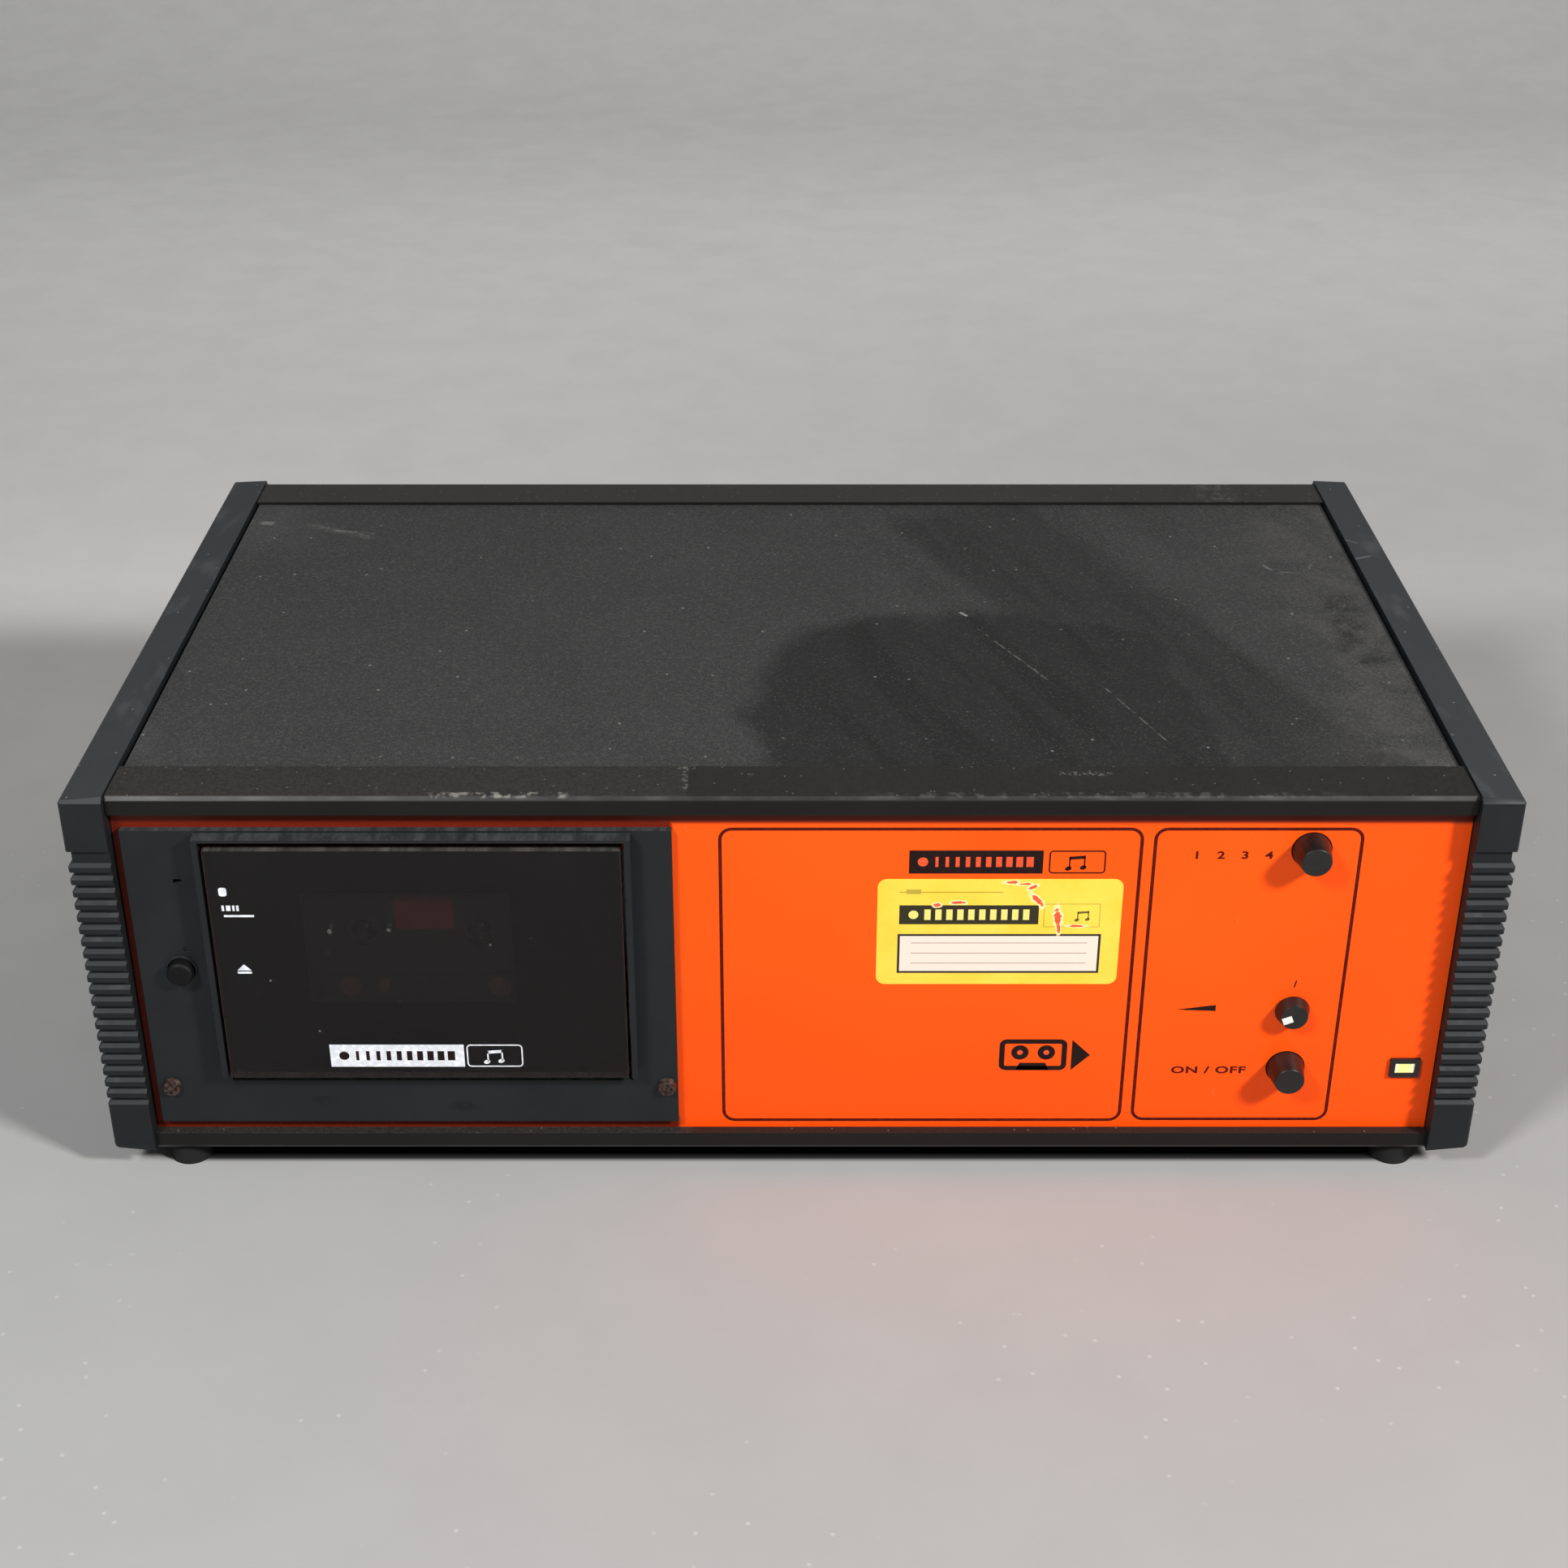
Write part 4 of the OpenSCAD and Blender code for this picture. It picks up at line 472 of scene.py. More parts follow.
lint = Finish("pale_lint")
tone = lint.blend(lint.noise(0.6).rise(0.4, 0.6), ink(84, 84, 83), ink(118, 117, 115))
lint.surface(tone, 0.9)
cover_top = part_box("top_cover")[1][2] / mm
fluff = {
    "lint_curl": [fluff_start, (-208.0, 102.0), (-201.0, 97.2), (-196.0, 97.8), fluff_end],
    "lint_hair": [(-205.0, 98.4), (-197.0, 96.6), (-190.0, 97.4), (-185.0, 94.6)]}
thread_r = 0.09
for name, points in fluff.items():
    strand = thread(name, [(px, py, cover_top + 0.1) for px, py in points], thread_r, lint)
    settle(strand, "case")

# Front panel
# Folded steel sheet in satin orange enamel, held in the grooves of the rails. A few scuffs and
# a faint ripple show in the enamel, and it is a little darker towards the bottom and the right.
# Shade is painted along its top under the rail and round the deck front.

panel = Finish("orange_enamel")
x, y, z = panel.axes()
cloud = panel.noise(0.01, 3.0, 0.5)
tone = panel.blend(cloud.rise(0.3, 0.7), ink(255, 82, 5), ink(255, 87, 9))
# Darker towards the bottom and towards the right.
deeper = z.rise(120.0, 30.0).most(x.rise(120.0, 200.0) * 0.6)
tone = panel.blend(deeper * 0.5, tone, ink(252, 74, 5))
scuff = panel.noise(0.3, 5.0, 0.7, at=panel.stretched(1, 1, 0.25)).rise(0.68, 0.74)
tone = panel.blend(scuff * 0.3, tone, ink(255, 140, 80))
# Painted shade: the enamel is painted dark red under the top rail, in the strip left of the deck
# front, and above and below the deck front.
shade_beside_deck = x.rise(-42.0, -44.0) * z.rise(149.0, 150.4).most(z.rise(23.0, 22.2))
painted_shade = z.rise(151.2, 153.4).most(x.rise(-240.4, -241.2)).most(shade_beside_deck)
tone = panel.blend(painted_shade * 0.93, tone, ink(88, 18, 8))
panel.surface(tone, 0.40 + cloud * 0.08, panel.bump(panel.noise(0.5, 2.0), 0.02, 0.35),
              Specular_IOR_Level=0.2)
dress(panel, "front_panel")

# Print on the front panel
# Silk-screened in black: two outlines with round corners, a bar with a row of blocks beside a
# boxed note sign, a cassette sign, the legends of the three controls and the knob's tick.

panel_front, print_t, print_sink = -145.65, 0.05, 0.02
level_blocks = 10


def rounded(x0, z0, x1, z1, radius, steps=6):
    """The corners of a round-cornered box, anticlockwise as seen from the front."""
    points = []
    for cx, cz, start in ((x1 - radius, z0 + radius, -90), (x1 - radius, z1 - radius, 0),
                          (x0 + radius, z1 - radius, 90), (x0 + radius, z0 + radius, 180)):
        for step in range(steps + 1):
            turn = math.radians(start + 90 * step / steps)
            points.append((cx + radius * math.cos(turn), cz + radius * math.sin(turn)))
    return points


def block(x0, z0, x1, z1):
    """The corners of a plain rectangle, in the same order."""
    return [(x0, z0), (x1, z0), (x1, z1), (x0, z1)]


def oval(cx, cz, rx, rz, tilt=0.0, steps=28):
    """The rim of a disc or of a leaning oval."""
    lean, points = math.radians(tilt), []
    for step in range(steps):
        turn = math.tau * step / steps
        px, pz = rx * math.cos(turn), rz * math.sin(turn)
        points.append((cx + px * math.cos(lean) - pz * math.sin(lean),
                       cz + px * math.sin(lean) + pz * math.cos(lean)))
    return points


def printed(name, finish, shapes, rings, front, back):
    """Flat shapes and ring-shaped lines that face the front, from one depth to another."""
    verts, faces = [], []

    def rim(loop, depth):
        verts.extend((px * mm, depth * mm, pz * mm) for px, pz in loop)
        return len(verts) - len(loop)

    def band(first, second, count):
        for i in range(count):
            j = (i + 1) % count
            faces.append((first + i, second + i, second + j, first + j))

    for loop in shapes:
        count = len(loop)
        near, far = rim(loop, front), rim(loop, back)
        faces.append(list(range(near, near + count)))
        faces.append(list(range(far + count - 1, far - 1, -1)))
        band(near, far, count)
    for outer, inner in rings:
        count = len(outer)
        outer_near, inner_near = rim(outer, front), rim(inner, front)
        outer_far, inner_far = rim(outer, back), rim(inner, back)
        band(inner_near, outer_near, count)
        band(outer_far, inner_far, count)
        band(outer_near, outer_far, count)
        band(inner_far, inner_near, count)
    return piece(name, verts, faces, finish)


def frame_line(x0, z0, x1, z1, radius, width):
    """A round-cornered box drawn as a line, its middle on the given edges."""
    half = width / 2
    return (rounded(x0 - half, z0 - half, x1 + half, z1 + half, radius + half),
            rounded(x0 + half, z0 + half, x1 - half, z1 - half, radius - half))


def blocks(x0, z0, x1, z1, count):
    """A row of blocks that widen to the right, as on a level scale."""
    shapes, step = [], (x1 - x0) / count
    for i in range(count):
        left = x0 + i * step
        width = step * (0.30 + 0.42 * i / (count - 1))
        shapes.append(block(left, z0, left + width, z1))
    return shapes


def note_sign(cx, cz, size):
    """Two joined quavers."""
    half, low, high = size * 0.42, cz - size * 0.36, cz + size * 0.42
    stem, beam = size * 0.085, size * 0.2
    shapes = [oval(cx - half - size * 0.11, low, size * 0.19, size * 0.135, 20),
              oval(cx + half - size * 0.11, low + size * 0.07, size * 0.19, size * 0.135, 20)]
    for side, lift in ((-1, 0.0), (1, size * 0.07)):
        edge = cx + side * half
        shapes.append(block(edge - stem, low + lift, edge, high + lift - 0.02))
    shapes.append([(cx - half - stem, high - beam), (cx + half, high - beam + size * 0.07),
                   (cx + half, high + size * 0.07), (cx - half - stem, high)])
    return shapes


black = Finish("black_print")
tone = black.blend(black.noise(0.8, 3.0).rise(0.4, 0.7), ink(22, 9, 8), ink(38, 14, 10))
black.surface(tone, 0.5, black.bump(black.noise(3.0), 0.01, 0.3), Specular_IOR_Level=0.2)
worn = Finish("worn_print")
tone = worn.blend(worn.noise(0.5, 4.0, 0.7).rise(0.3, 0.7), ink(66, 14, 9), ink(92, 22, 11))
worn.surface(tone, 0.6, worn.bump(worn.noise(3.0), 0.01, 0.3), Specular_IOR_Level=0.1)
outlines = [frame_line(-25.9, 20.9, 126.2, 149.9, 4.3, 1.25),
            frame_line(131.1, 21.3, 205.5, 149.9, 4.3, 1.25)]
settle(printed("panel_outlines", worn, [], outlines, panel_front - print_t,
               panel_front + print_sink), "case")
bar = block(42.5, 131.3, 91.0, 141.0)
tick = [(187.2, 81.9), (187.7, 81.9), (188.3, 84.9), (187.8, 84.9)]
wedge = [(144.2, 71.9), (159.0, 71.3), (159.0, 74.0)]
tape_body = frame_line(79.8, 45.2, 103.4, 57.4, 1.7, 2.0)
reel_sign_x, reel_sign_z, reel_sign_r, reel_hole_r = (86.6, 96.6), 52.4, 3.3, 1.2
tape_sign = [oval(middle, reel_sign_z, reel_sign_r, reel_sign_r) for middle in reel_sign_x]
tape_sign += [[(85.2, 44.4), (97.8, 44.4), (96.4, 47.6), (86.6, 47.6)],
              [(106.2, 44.3), (113.2, 51.2), (106.2, 58.1)]]
rings = [tape_body, frame_line(93.4, 131.6, 113.4, 140.7, 1.2, 0.55)]
shapes = [bar, tick, wedge] + tape_sign + note_sign(103.6, 135.7, 6.4)
settle(printed("panel_print", black, shapes, rings, panel_front - print_t,
               panel_front + print_sink), "case")
knocked = Finish("knocked_out_print")
tone = knocked.blend(knocked.noise(0.8, 3.0).rise(0.4, 0.7), ink(220, 74, 34), ink(236, 84, 36))
knocked.surface(tone, 0.45)
hubs = [oval(middle, reel_sign_z, reel_hole_r, reel_hole_r, steps=6) for middle in reel_sign_x]
level = [oval(47.5, 136.2, 1.9, 1.9)] + blocks(52.0, 134.1, 88.6, 138.3, level_blocks)
settle(printed("panel_print_gaps", knocked, level + hubs, [],
               panel_front - print_t - 0.02, panel_front - print_t + 0.01), "case")


def lettering(name, text, x0, z0, stretch, depth, finish):
    """Plain printed figures, from their lower left corner."""
    height, height_of_size, spacing = 3.1, 0.72, 1.1
    thick, bolder = 0.02, 0.13
    curve = bpy.data.curves.new(name, "FONT")
    curve.body, curve.size = text, height * mm / height_of_size
    curve.space_character, curve.fill_mode = spacing, "BOTH"
    curve.extrude, curve.offset = thick * mm, bolder * mm
    words = bpy.data.objects.new(name + "_outline", curve)
    bpy.context.scene.collection.objects.link(words)
    bpy.context.view_layer.update()
    mesh = bpy.data.meshes.new_from_object(words)
    bpy.data.objects.remove(words)
    for vert in mesh.vertices:
        across, up, out = vert.co
        vert.co = (x0 * mm + across * stretch, depth * mm - out, z0 * mm + up)
    mesh.materials.clear()
    mesh.materials.append(finish.material)
    made = bpy.data.objects.new(name, mesh)
    bpy.context.scene.collection.objects.link(made)
    return made


legends = (("track_numbers", "1   2   3   4", 145.0, 137.6, 1.32),
           ("power_words", "ON / OFF", 144.4, 42.9, 1.45))
for name, text, x0, z0, stretch in legends:
    words = lettering(name, text, x0, z0, stretch, panel_front - 0.03, worn)
    settle(words, "case")

# Yellow label
# A vinyl label stuck across the outline, printed with a black band and a white box to write on.
# Its top has been picked at and has torn away in a few places.

label = Finish("yellow_label")
x, y, z = label.axes()
cloud = label.noise(0.06, 4.0, 0.6)
tone = label.blend(cloud.rise(0.3, 0.7), ink(238, 202, 58), ink(246, 212, 76))
band = x.span(39.4, 90.5) * z.span(109.7, 117.9)
tone = label.blend(band, tone, ink(38, 34, 10))
first_block, block_pitch = 48.6, 4.02
row = ((x - first_block) % block_pitch).rise(2.35, 2.25)
row = row * x.span(first_block, 88.0) * z.span(111.6, 116.1)
dot = label.spot(x, z, (44.6, 113.8), (1.8, 1.8)).rise(1.03, 0.97)
tone = label.blend(row.most(dot), tone, ink(236, 220, 120))
box_edge = x.span(39.0, 113.9) * z.span(88.4, 105.5)
box_field = x.span(39.9, 113.0) * z.span(89.3, 104.6)
tone = label.blend(box_edge, tone, ink(40, 34, 30))
tone = label.blend(box_field, tone, ink(238, 219, 204))
first_rule, rule_pitch = 92.6, 4.4
rule = ((z - first_rule) % rule_pitch).rise(0.36, 0.3)
rule = (z - first_rule).rise(-0.1, 0.0) * z.rise(101.8, 101.7) * rule
tone = label.blend(rule * x.span(44.0, 109.0) * 0.75, tone, ink(120, 104, 98))
rule = z.span(123.2, 123.7) * x.span(39.3, 77.0)
rule = rule.most(z.span(122.7, 124.6) * x.span(41.8, 47.2)) * 0.6
box = x.span(92.3, 113.1) * z.span(108.4, 118.6)
inner = x.span(92.7, 112.7) * z.span(108.8, 118.2)
tone = label.blend(rule.most((box - inner) * 0.5), tone, ink(120, 110, 30))
fray = (label.noise(0.42, 5.0, 0.75) - 0.5) * 2.6
tears = ((80.2, 127.7, 2.4, 0.6, 0.0), (84.4, 126.9, 2.8, 0.5, -0.3), (87.9, 125.6, 1.2, 1.0, -0.9),
         (89.6, 120.2, 1.3, 2.4, 0.7), (97.6, 113.0, 1.2, 3.4, 0.1), (98.0, 107.8, 0.7, 2.2, 0.0),
         (53.1, 117.9, 1.5, 0.8, 0.0), (60.9, 119.0, 2.4, 0.7, 0.0), (104.5, 108.9, 3.0, 0.5, 0.0))
paper_bare = torn = None
for cx, cz, rx, rz, lean in tears:
    away = label.spot(x + (z - cz) * lean, z, (cx, cz), (rx, rz)) + fray
    rim, hole = away.rise(1.7, 1.4), away.rise(1.0, 0.85)
    paper_bare = paper_bare.most(rim) if paper_bare else rim
    torn = torn.most(hole) if torn else hole
tone = label.blend(paper_bare * 0.75, tone, ink(250, 236, 180))
tone = label.blend(torn, tone, ink(228, 84, 44))
label.surface(tone, 0.38 + paper_bare * 0.3 + cloud * 0.05,
              label.bump(label.noise(0.5) - paper_bare * 0.6 - torn * 0.8, 0.06, 0.5))
label_t = 0.18
label_front = panel_front - label_t
settle(printed("yellow_label", label, [rounded(31.3, 83.5, 120.8, 129.0, 3.4)], [],
               label_front, panel_front + 0.02), "case")
faded = Finish("faded_print")
tone = faded.blend(faded.noise(1.2, 3.0).rise(0.4, 0.6), ink(86, 78, 20), ink(120, 108, 40))
faded.surface(tone, 0.5)
settle(printed("label_note_sign", faded, note_sign(107.0, 113.2, 4.6), [],
               label_front - 0.03, label_front + 0.01), "case")

# Deck front
# One moulding in blue-black plastic with raised walls round the door, held by two cross-head
# screws with a dull bronzed finish.

bezel = Finish("bezel_plastic")
x, y, z = bezel.axes()
cloud = bezel.noise(0.03, 4.0, 0.6)
tone = bezel.blend(cloud.rise(0.3, 0.7), ink(21, 24, 26), ink(26, 29, 31))
# Two soft dark patches low on the front of the bezel.
dark_blot = bezel.spot(x, z, (-177.9, 32.5), (5.5, 2.2)).least(
    bezel.spot(x, z, (-125.1, 29.6), (6.5, 2.4))).rise(1.3, 0.4)
tone = bezel.blend(dark_blot * bezel.noise(0.3, 3.0).rise(0.3, 0.6) * 0.6, tone, ink(8, 9, 10))
up = bezel.facing().rise(0.6, 0.95)
dust = up * (0.3 + bezel.noise(0.25, 4.0, 0.7, at=bezel.stretched(1, 0.3, 0.3)).rise(0.35, 0.7))
tone = bezel.blend(dust * 0.14, tone, ink(130, 132, 134))
# Painted highlight: a pale line along the top front edge of the wall round the door.
rim = y.rise(-153.5, -153.9) * z.rise(150.1, 150.5)
tone = bezel.blend(rim * 0.35, tone, ink(104, 106, 108))
bezel.surface(tone, 0.46 + cloud * 0.1, bezel.bump(bezel.noise(2.2, 2.0), 0.04, 0.4),
              Specular_IOR_Level=0.28)
dress(bezel, "deck_bezel")
soften(0.22, 2, "deck_bezel")

dull = Finish("bronzed_screw")
cloud = dull.noise(0.8, 3.0, 0.6)
tone = dull.blend(cloud.rise(0.35, 0.65), ink(52, 40, 36), ink(96, 80, 72))
dull.surface(tone, 0.42, Metallic=0.75)
dress(dull, "bezel_screws")

# Door
# A pane of smoked acrylic with polished edges, glued to the cassette carrier. Its face is
# printed in white, and dust lies on its top edge. Two glints on its face and a red-brown
# reflection in its side and bottom edges are painted light.

smoke = Finish("smoked_acrylic")
x, y, z = smoke.axes()
up = smoke.facing().rise(0.6, 0.95)
dust = up * (0.35 + smoke.noise(0.12, 4.0, 0.7, at=smoke.stretched(1, 0, 0)).rise(0.35, 0.7) * 0.5)
tone = smoke.blend(dust, ink(12, 8, 8), ink(96, 94, 92))
speck = smoke.cells(0.09).rise(0.05, 0.03) * smoke.noise(0.02).rise(0.45, 0.6)
# Painted highlights: two small glints on the face of the pane, joined with the dust specks.
glint = smoke.spot(x, z, (-168.1, 111.8), (0.9, 1.1)).least(
    smoke.spot(x, z, (-146.5, 112.4), (0.8, 0.8))).rise(1.2, 0.7)
speck = speck.most(glint * 0.6)
tone = smoke.blend(speck * 0.6, tone, ink(150, 148, 146))
deck_x, pane_half, pane_low = -136.1, 74.2, 46.9
# Painted reflection: the side and bottom edges of the pane are tinted red-brown, as the orange
# panel shows in them.
edge = abs(x - deck_x).rise(pane_half, pane_half + 0.5).most(z.rise(pane_low, pane_low - 0.2))
tone = smoke.blend(edge * 0.5, tone, ink(60, 34, 30))
smoke.surface(tone, 0.05 + dust * 0.4, Alpha=(0.56 + dust * 0.4).most(speck).most(edge * 0.8))
dress(smoke, "door_pane")
soften(0.25, 2, "door_pane")

pane_front = -154.15
white = Finish("white_print")
tone = white.blend(white.noise(0.6, 3.0).rise(0.4, 0.7), ink(214, 218, 224), ink(240, 243, 247))
white.surface(tone, 0.5)
bar = block(-172.8, 51.9, -122.6, 61.9)
small = [rounded(-206.6, 126.8, -203.7, 130.4, 0.9, 3)]
small += [block(left, 120.6, left + wide, 122.9)
          for left, wide in ((-206.2, 0.9), (-204.6, 1.6), (-202.3, 0.8), (-200.9, 0.9))]
small += [block(-205.7, 118.0, -194.8, 118.9)]
eject_sign = [[(-203.4, 95.0), (-198.2, 95.0), (-200.8, 97.6)],
              block(-203.4, 93.6, -198.2, 94.5)]
rings = [frame_line(-121.4, 52.1, -100.9, 61.7, 1.4, 0.5)]
settle(printed("door_print", white, [bar] + small + eject_sign + note_sign(-110.8, 56.4, 6.4),
               rings, pane_front - print_t, pane_front + 0.02), "door")
cut_out = [oval(-167.6, 56.9, 1.9, 1.9)] + blocks(-163.2, 54.8, -125.0, 59.0, level_blocks)
settle(printed("door_print_gaps", black, cut_out, [],
               pane_front - print_t - 0.02, pane_front - print_t + 0.01), "door")

# Cassette carrier and cassette
# The carrier is a matt black moulding that hangs behind the pane and swings with it. The
# cassette has a paper label with a red field and brown round guides, dim behind the pane.

holder = Finish("carrier_plastic")
x, y, z = holder.axes()
cloud = holder.noise(0.05, 4.0, 0.6)
tone = holder.blend(cloud.rise(0.3, 0.7), ink(17, 16, 16), ink(24, 22, 22))
window_x, window_z, window_wide, window_high = -140.3, 102.1, 37.4, 23.1
across, along = abs(x - window_x), abs(z - window_z)
# Painted highlight: a pale line round the edges of the window in the carrier.
lip = across.near(window_wide, 0.3, 0.4) * along.rise(window_high + 0.5, window_high + 0.1)
ledge = along.near(window_high, 0.3, 0.4) * across.rise(window_wide + 0.6, window_wide + 0.2)
lip = lip.most(ledge)
tone = holder.blend(lip * 0.5, tone, ink(64, 58, 57))
holder.surface(tone, 0.55, holder.bump(holder.noise(2.0, 2.0), 0.03, 0.4))
dress(holder, "cassette_holder")
shell = Finish("cassette_plastic")
cloud = shell.noise(0.05, 4.0, 0.6)
tone = shell.blend(cloud.rise(0.3, 0.7), ink(36, 36, 35), ink(44, 44, 42))
shell.surface(tone, 0.5, shell.bump(shell.noise(2.5, 2.0), 0.02, 0.4))
dress(shell, "cassette_front_shell", "cassette_rear_shell")
card = Finish("label_paper")
tone = card.blend(card.noise(0.4, 4.0, 0.7).rise(0.35, 0.65), ink(150, 34, 26), ink(172, 46, 36))
card.surface(tone, 0.7, card.bump(card.noise(3.0), 0.01, 0.3))
settle(printed("cassette_label", card, [rounded(-145.5, 108.1, -123.9, 123.1, 0.6, 3)], [],
               -146.26, -146.18), "door")
guide = Finish("guide_plastic")
tone = guide.blend(guide.noise(0.5, 3.0).rise(0.35, 0.65), ink(104, 66, 60), ink(122, 80, 72))
guide.surface(tone, 0.6, guide.bump(guide.noise(2.0), 0.02, 0.3))
guides = [oval(-163.75, 83.9, 4.3, 4.3), oval(-108.45, 83.9, 4.3, 4.3),
          oval(-151.2, 84.6, 2.0, 3.4, -18.0)]
settle(printed("cassette_guides", guide, guides, [], -148.0, -147.95),
       "door")

# Reels and tape
# The hubs are moulded in grey plastic and wound with brown tape, which shines faintly in fine
# rings. The spindles that turn them are moulded in black.

hub = Finish("hub_plastic")
cloud = hub.noise(0.2, 3.0, 0.6)
tone = hub.blend(cloud.rise(0.3, 0.7), ink(52, 50, 48), ink(64, 62, 59))
hub.surface(tone, 0.45, hub.bump(hub.noise(2.5, 2.0), 0.01, 0.3))
dress(hub, "left_hub", "right_hub")
reel_half, reel_z = 21.25, 107.2
for side, name in ((-1, "left_tape_pack"), (1, "right_tape_pack")):
    turns = Finish("wound_tape_" + name.split("_")[0])
    x, y, z = turns.axes()
    away = turns.spot(x, z, (deck_x + side * reel_half, reel_z), (1.0, 1.0))
    rings = turns.noise(1.4, 3.0, 0.7, at=turns.node("CombineXYZ", {}, {0: away, 1: 0.0, 2: 0.0}))
    tone = turns.blend(rings.rise(0.3, 0.7), ink(44, 28, 20), ink(66, 44, 32))
    turns.surface(tone, 0.3 + rings * 0.15, turns.bump(rings, 0.02, 0.4))
    dress(turns, name)
spindle = Finish("spindle_plastic")
tone = spindle.blend(spindle.noise(0.3, 3.0).rise(0.3, 0.7), ink(18, 18, 18), ink(28, 28, 28))
spindle.surface(tone, 0.35, spindle.bump(spindle.noise(2.0, 2.0), 0.02, 0.3))
dress(spindle, "left_spindle", "right_spindle")

# Deck works
# A pressed frame in zinc-plated steel carries cast flywheels with turned faces, bronze bearings,
# a plated motor can with a brass pulley, rubber belts and rollers, and a polished tape head.

zinc = Finish("zinc_plate")
flake = zinc.cells(0.5)
tone = zinc.blend(flake.rise(0.1, 0.9), ink(166, 168, 166), ink(182, 183, 178))
tone = zinc.blend(zinc.noise(0.04, 3.0).rise(0.45, 0.7) * 0.3, tone, ink(180, 168, 130))
zinc.surface(tone, 0.34 + flake * 0.12, zinc.bump(zinc.noise(2.0, 2.0), 0.01, 0.3), Metallic=1.0)
dress(zinc, "foot_screws", "deck_chassis", "head_plate", "left_pinch_arm", "right_pinch_arm",
      "volume_pot", "input_sockets", "power_transistors")
capstan_half, capstan_z = 27.65, 82.9
for side, name in ((-1, "left_flywheel"), (1, "right_flywheel")):
    cast = Finish("turned_" + name)
    x, y, z = cast.axes()
    away = cast.spot(x, z, (deck_x + side * capstan_half, capstan_z), (1.0, 1.0))
    lines = cast.noise(2.2, 3.0, 0.7, at=cast.node("CombineXYZ", {}, {0: away, 1: 0.0, 2: 0.0}))
    tone = cast.blend(lines.rise(0.3, 0.7), ink(150, 150, 146), ink(186, 186, 182))
    cast.surface(tone, 0.28 + lines * 0.2, cast.bump(lines, 0.01, 0.5), Metallic=1.0)
    dress(cast, name)


def bare(name, dark, light, rough, scale, metallic, depth, *names):
    """A metal, lacquer or plastic with cloudy colour and a fine bump, for hidden parts."""
    made = Finish(name)
    cloud = made.noise(scale, 4.0, 0.6)
    tone = made.blend(cloud.rise(0.32, 0.68), dark, light)
    grain = made.bump(made.noise(scale * 9.0, 2.0), depth, 0.35)
    made.surface(tone, rough + cloud * 0.1, grain, Metallic=metallic)
    dress(made, *names)
    return made


bare("bronze_bush", ink(150, 104, 52), ink(182, 136, 76), 0.34, 0.4, 1.0, 0.02, "capstan_bearings")
bare("motor_can", ink(138, 140, 140), ink(168, 170, 170), 0.3, 0.12, 1.0, 0.01, "deck_motor")
bare("brass_pulley", ink(170, 132, 62), ink(202, 164, 88), 0.25, 0.5, 1.0, 0.01, "motor_pulley")
bare("head_metal", ink(176, 176, 172), ink(206, 206, 202), 0.18, 0.3, 1.0, 0.005, "tape_head")
bare("belt_rubber", ink(20, 19, 19), ink(30, 29, 28), 0.6, 0.5, 0.0, 0.03,
     "drive_belt", "reel_belts")
bare("roller_rubber", ink(26, 24, 24), ink(38, 36, 35), 0.7, 0.6, 0.0, 0.04,
     "left_pinch_roller", "right_pinch_roller")

# Eject spring
# A coil of hard-drawn steel wire round the stem of the eject button. Its rear end rests on the
# frame of the deck.

wire = bare("spring_wire", ink(120, 122, 124), ink(160, 162, 164), 0.3, 0.8, 1.0, 0.01,
            "eject_spring")
wire_r, wire_sides, coil_r, coil_turns, turn_steps = 0.5, 10, 2.8, 6, 16
coil_x, coil_z, coil_front, coil_rear = -225.5, 91.7, -143.55, -132.6
coil_steps = coil_turns * turn_steps
verts, faces = [], []
for i in range(coil_steps + 1):
    turn = math.tau * i / turn_steps
    back = coil_front + wire_r + (coil_rear - coil_front - 2 * wire_r) * i / coil_steps
    for j in range(wire_sides):
        lean = math.tau * j / wire_sides
        reach = coil_r + wire_r * math.cos(lean)
        verts.append(((coil_x + reach * math.cos(turn)) * mm,
                      (back + wire_r * math.sin(lean)) * mm,
                      (coil_z + reach * math.sin(turn)) * mm))
for first in range(0, coil_steps * wire_sides, wire_sides):
    for j in range(wire_sides):
        k, after = (j + 1) % wire_sides, first + wire_sides
        faces.append((first + j, after + j, after + k, first + k))
faces.append(list(range(wire_sides)))
faces.append(list(range(len(verts) - 1, len(verts) - wire_sides - 1, -1)))
coil = piece("eject_coil", verts, faces, wire, smooth=True)
settle(coil, "case")
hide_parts("eject_spring")
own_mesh(coil)

# Screws and feet
# Blackened steel screws hold the cheeks. The feet are moulded in black rubber and screwed to
# the bottom cover.

bare("blackened_screw", ink(54, 55, 56), ink(88, 89, 90), 0.38, 0.5, 0.9, 0.01, "cheek_screws")
# Painted shade: the feet are coloured almost pure black, darker than their rubber, so that they
# sink into the dark under the case.
bare("foot_rubber", ink(4, 4, 4), ink(8, 8, 8), 0.9, 0.3, 0.0, 0.06, "rubber_feet")

# Controls behind the panel
# Two moulded switches and a metal potentiometer sit on a green board behind the front panel.

bare("switch_plastic", ink(30, 31, 34), ink(42, 43, 46), 0.45, 0.3, 0.0, 0.02,
     "track_switch", "power_switch")
bare("turned_shaft", ink(170, 172, 172), ink(198, 200, 200), 0.25, 0.5, 1.0, 0.01, "volume_shaft")

# Amplifier
# A mains transformer and a loudspeaker line transformer with varnished cores stand beside a
# green board with two sleeved capacitors, and a finned aluminium sink hangs on the rear panel.

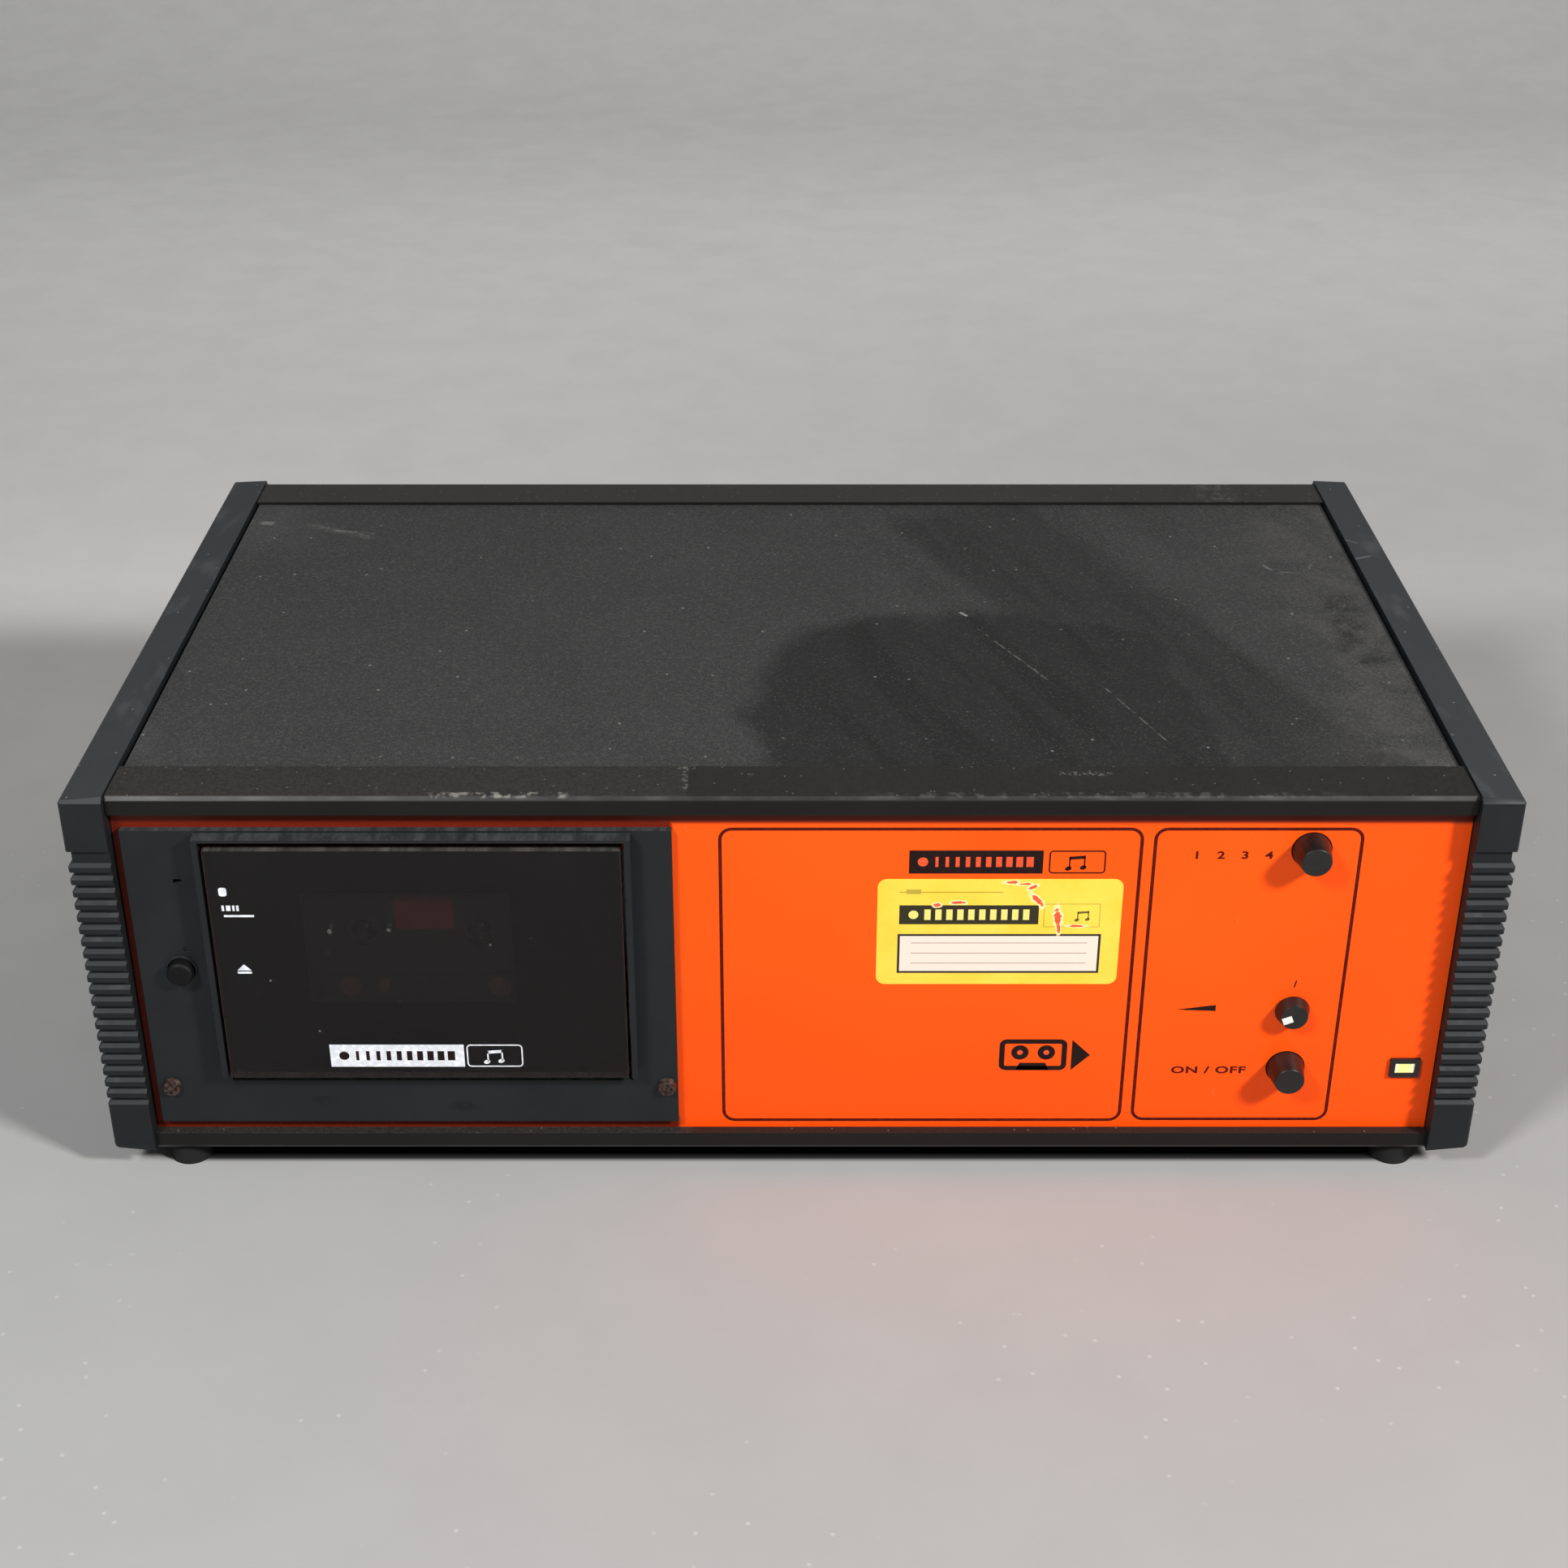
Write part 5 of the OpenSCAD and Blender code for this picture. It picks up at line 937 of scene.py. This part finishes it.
board = Finish("green_board")
paths = board.cells(0.22, "DISTANCE_TO_EDGE").rise(0.16, 0.1)
tone = board.blend(board.noise(0.05, 3.0).rise(0.3, 0.7), ink(24, 72, 40), ink(32, 88, 50))
tone = board.blend(paths * 0.6, tone, ink(62, 120, 70))
joint = board.cells(0.16).rise(0.13, 0.1)
tone = board.blend(joint, tone, ink(176, 176, 170))
board.surface(tone, 0.35 + joint * 0.1, board.bump(paths + joint, 0.04, 0.4))
dress(board, "amplifier_board", "control_board")
core = Finish("transformer_core")
sheets = core.noise(2.4, 1.0, at=core.stretched(0.02, 1.0, 0.02)).rise(0.35, 0.65)
tone = core.blend(sheets, ink(58, 44, 36), ink(96, 78, 64))
core.surface(tone, 0.4, core.bump(sheets, 0.05, 0.5), Metallic=0.4)
dress(core, "mains_transformer", "line_transformer")
bare("capacitor_sleeve", ink(26, 38, 84), ink(36, 52, 108), 0.3, 0.1, 0.0, 0.01,
     "smoothing_capacitors")
sink = Finish("sink_aluminium")
drawn = sink.noise(1.4, 3.0, 0.6, at=sink.stretched(1.0, 1.0, 0.03))
tone = sink.blend(drawn.rise(0.3, 0.7), ink(158, 160, 162), ink(186, 188, 190))
sink.surface(tone, 0.32 + drawn * 0.15, sink.bump(drawn, 0.02, 0.4), Metallic=1.0)
dress(sink, "heat_sink")

# Rear panel
# Steel sheet in satin black, held in the grooves of the rails. Its inlet and its terminal
# blocks are moulded in black plastic.

rear = Finish("rear_paint")
cloud = rear.noise(0.02, 4.0, 0.6)
tone = rear.blend(cloud.rise(0.3, 0.7), ink(26, 26, 26), ink(34, 34, 34))
rear.surface(tone, 0.5 + cloud * 0.1, rear.bump(rear.noise(1.2, 2.0), 0.03, 0.4))
dress(rear, "rear_panel")
inlet = Finish("inlet_plastic")
cloud = inlet.noise(0.3, 3.0)
tone = inlet.blend(cloud.rise(0.35, 0.65), ink(18, 18, 18), ink(28, 28, 28))
inlet.surface(tone, 0.4)
dress(inlet, "mains_inlet", "speaker_terminals")

# Buttons and volume knob
# Mouldings in black plastic that taper to a flat face. The push buttons sit on the switches
# behind the panel, and the knob, with its white pointer, is pressed on the potentiometer's shaft.

button = Finish("button_plastic")
cloud = button.noise(0.2, 3.0, 0.6)
tone = button.blend(cloud.rise(0.3, 0.7), ink(16, 14, 14), ink(23, 21, 21))
button.surface(tone, 0.30 + cloud * 0.15, button.bump(button.noise(2.0, 2.0), 0.02, 0.3))
dress(button, "track_button", "power_button", "lamp_bezel")
knob = Finish("knob_plastic")
x, y, z = knob.axes()
cloud = knob.noise(0.2, 3.0, 0.6)
tone = knob.blend(cloud.rise(0.3, 0.7), ink(16, 14, 14), ink(23, 21, 21))
knob_face = -150.96
filled = y.rise(knob_face, knob_face - 0.1)
tone = knob.blend(filled, tone, ink(226, 224, 218))
knob.surface(tone, 0.32 + cloud * 0.15 + filled * 0.2,
             knob.bump(knob.noise(2.0, 2.0), 0.02, 0.3))
dress(knob, "volume_knob")
eject = Finish("eject_plastic")
x, y, z = eject.axes()
cloud = eject.noise(0.2, 3.0, 0.6)
button_r = 4.9
away = eject.spot(x, z, (coil_x, coil_z), (button_r, button_r))
tone = eject.blend(cloud.rise(0.3, 0.7), ink(6, 6, 7), ink(10, 10, 11))
# Painted highlight: a pale ring round the edge of the eject button.
rim = away.near(0.95, 0.03, 0.04) * y.rise(-152.8, -153.1)
tone = eject.blend(rim * 0.5, tone, ink(120, 122, 125))
eject.surface(tone, 0.55 + cloud * 0.1, eject.bump(eject.noise(2.0, 2.0), 0.02, 0.3),
              Specular_IOR_Level=0.2)
dress(eject, "eject_button")
soften(0.3, 3, "track_button", "power_button", "volume_knob", "eject_button")

# Lamp
# A translucent pale yellow lens in a black bezel, clipped into the panel.

lens = Finish("lamp_lens")
x, y, z = lens.axes()
lens_x = 233.0
# Painted light: the lens is given a faint glow, and its ends are painted paler.
ends = abs(x - lens_x).rise(2.0, 3.4)
tone = lens.blend(ends * 0.7, ink(232, 224, 140), ink(246, 244, 220))
lens.surface(tone, 0.3, Emission_Color=tone, Emission_Strength=0.22)
dress(lens, "lamp_lens")
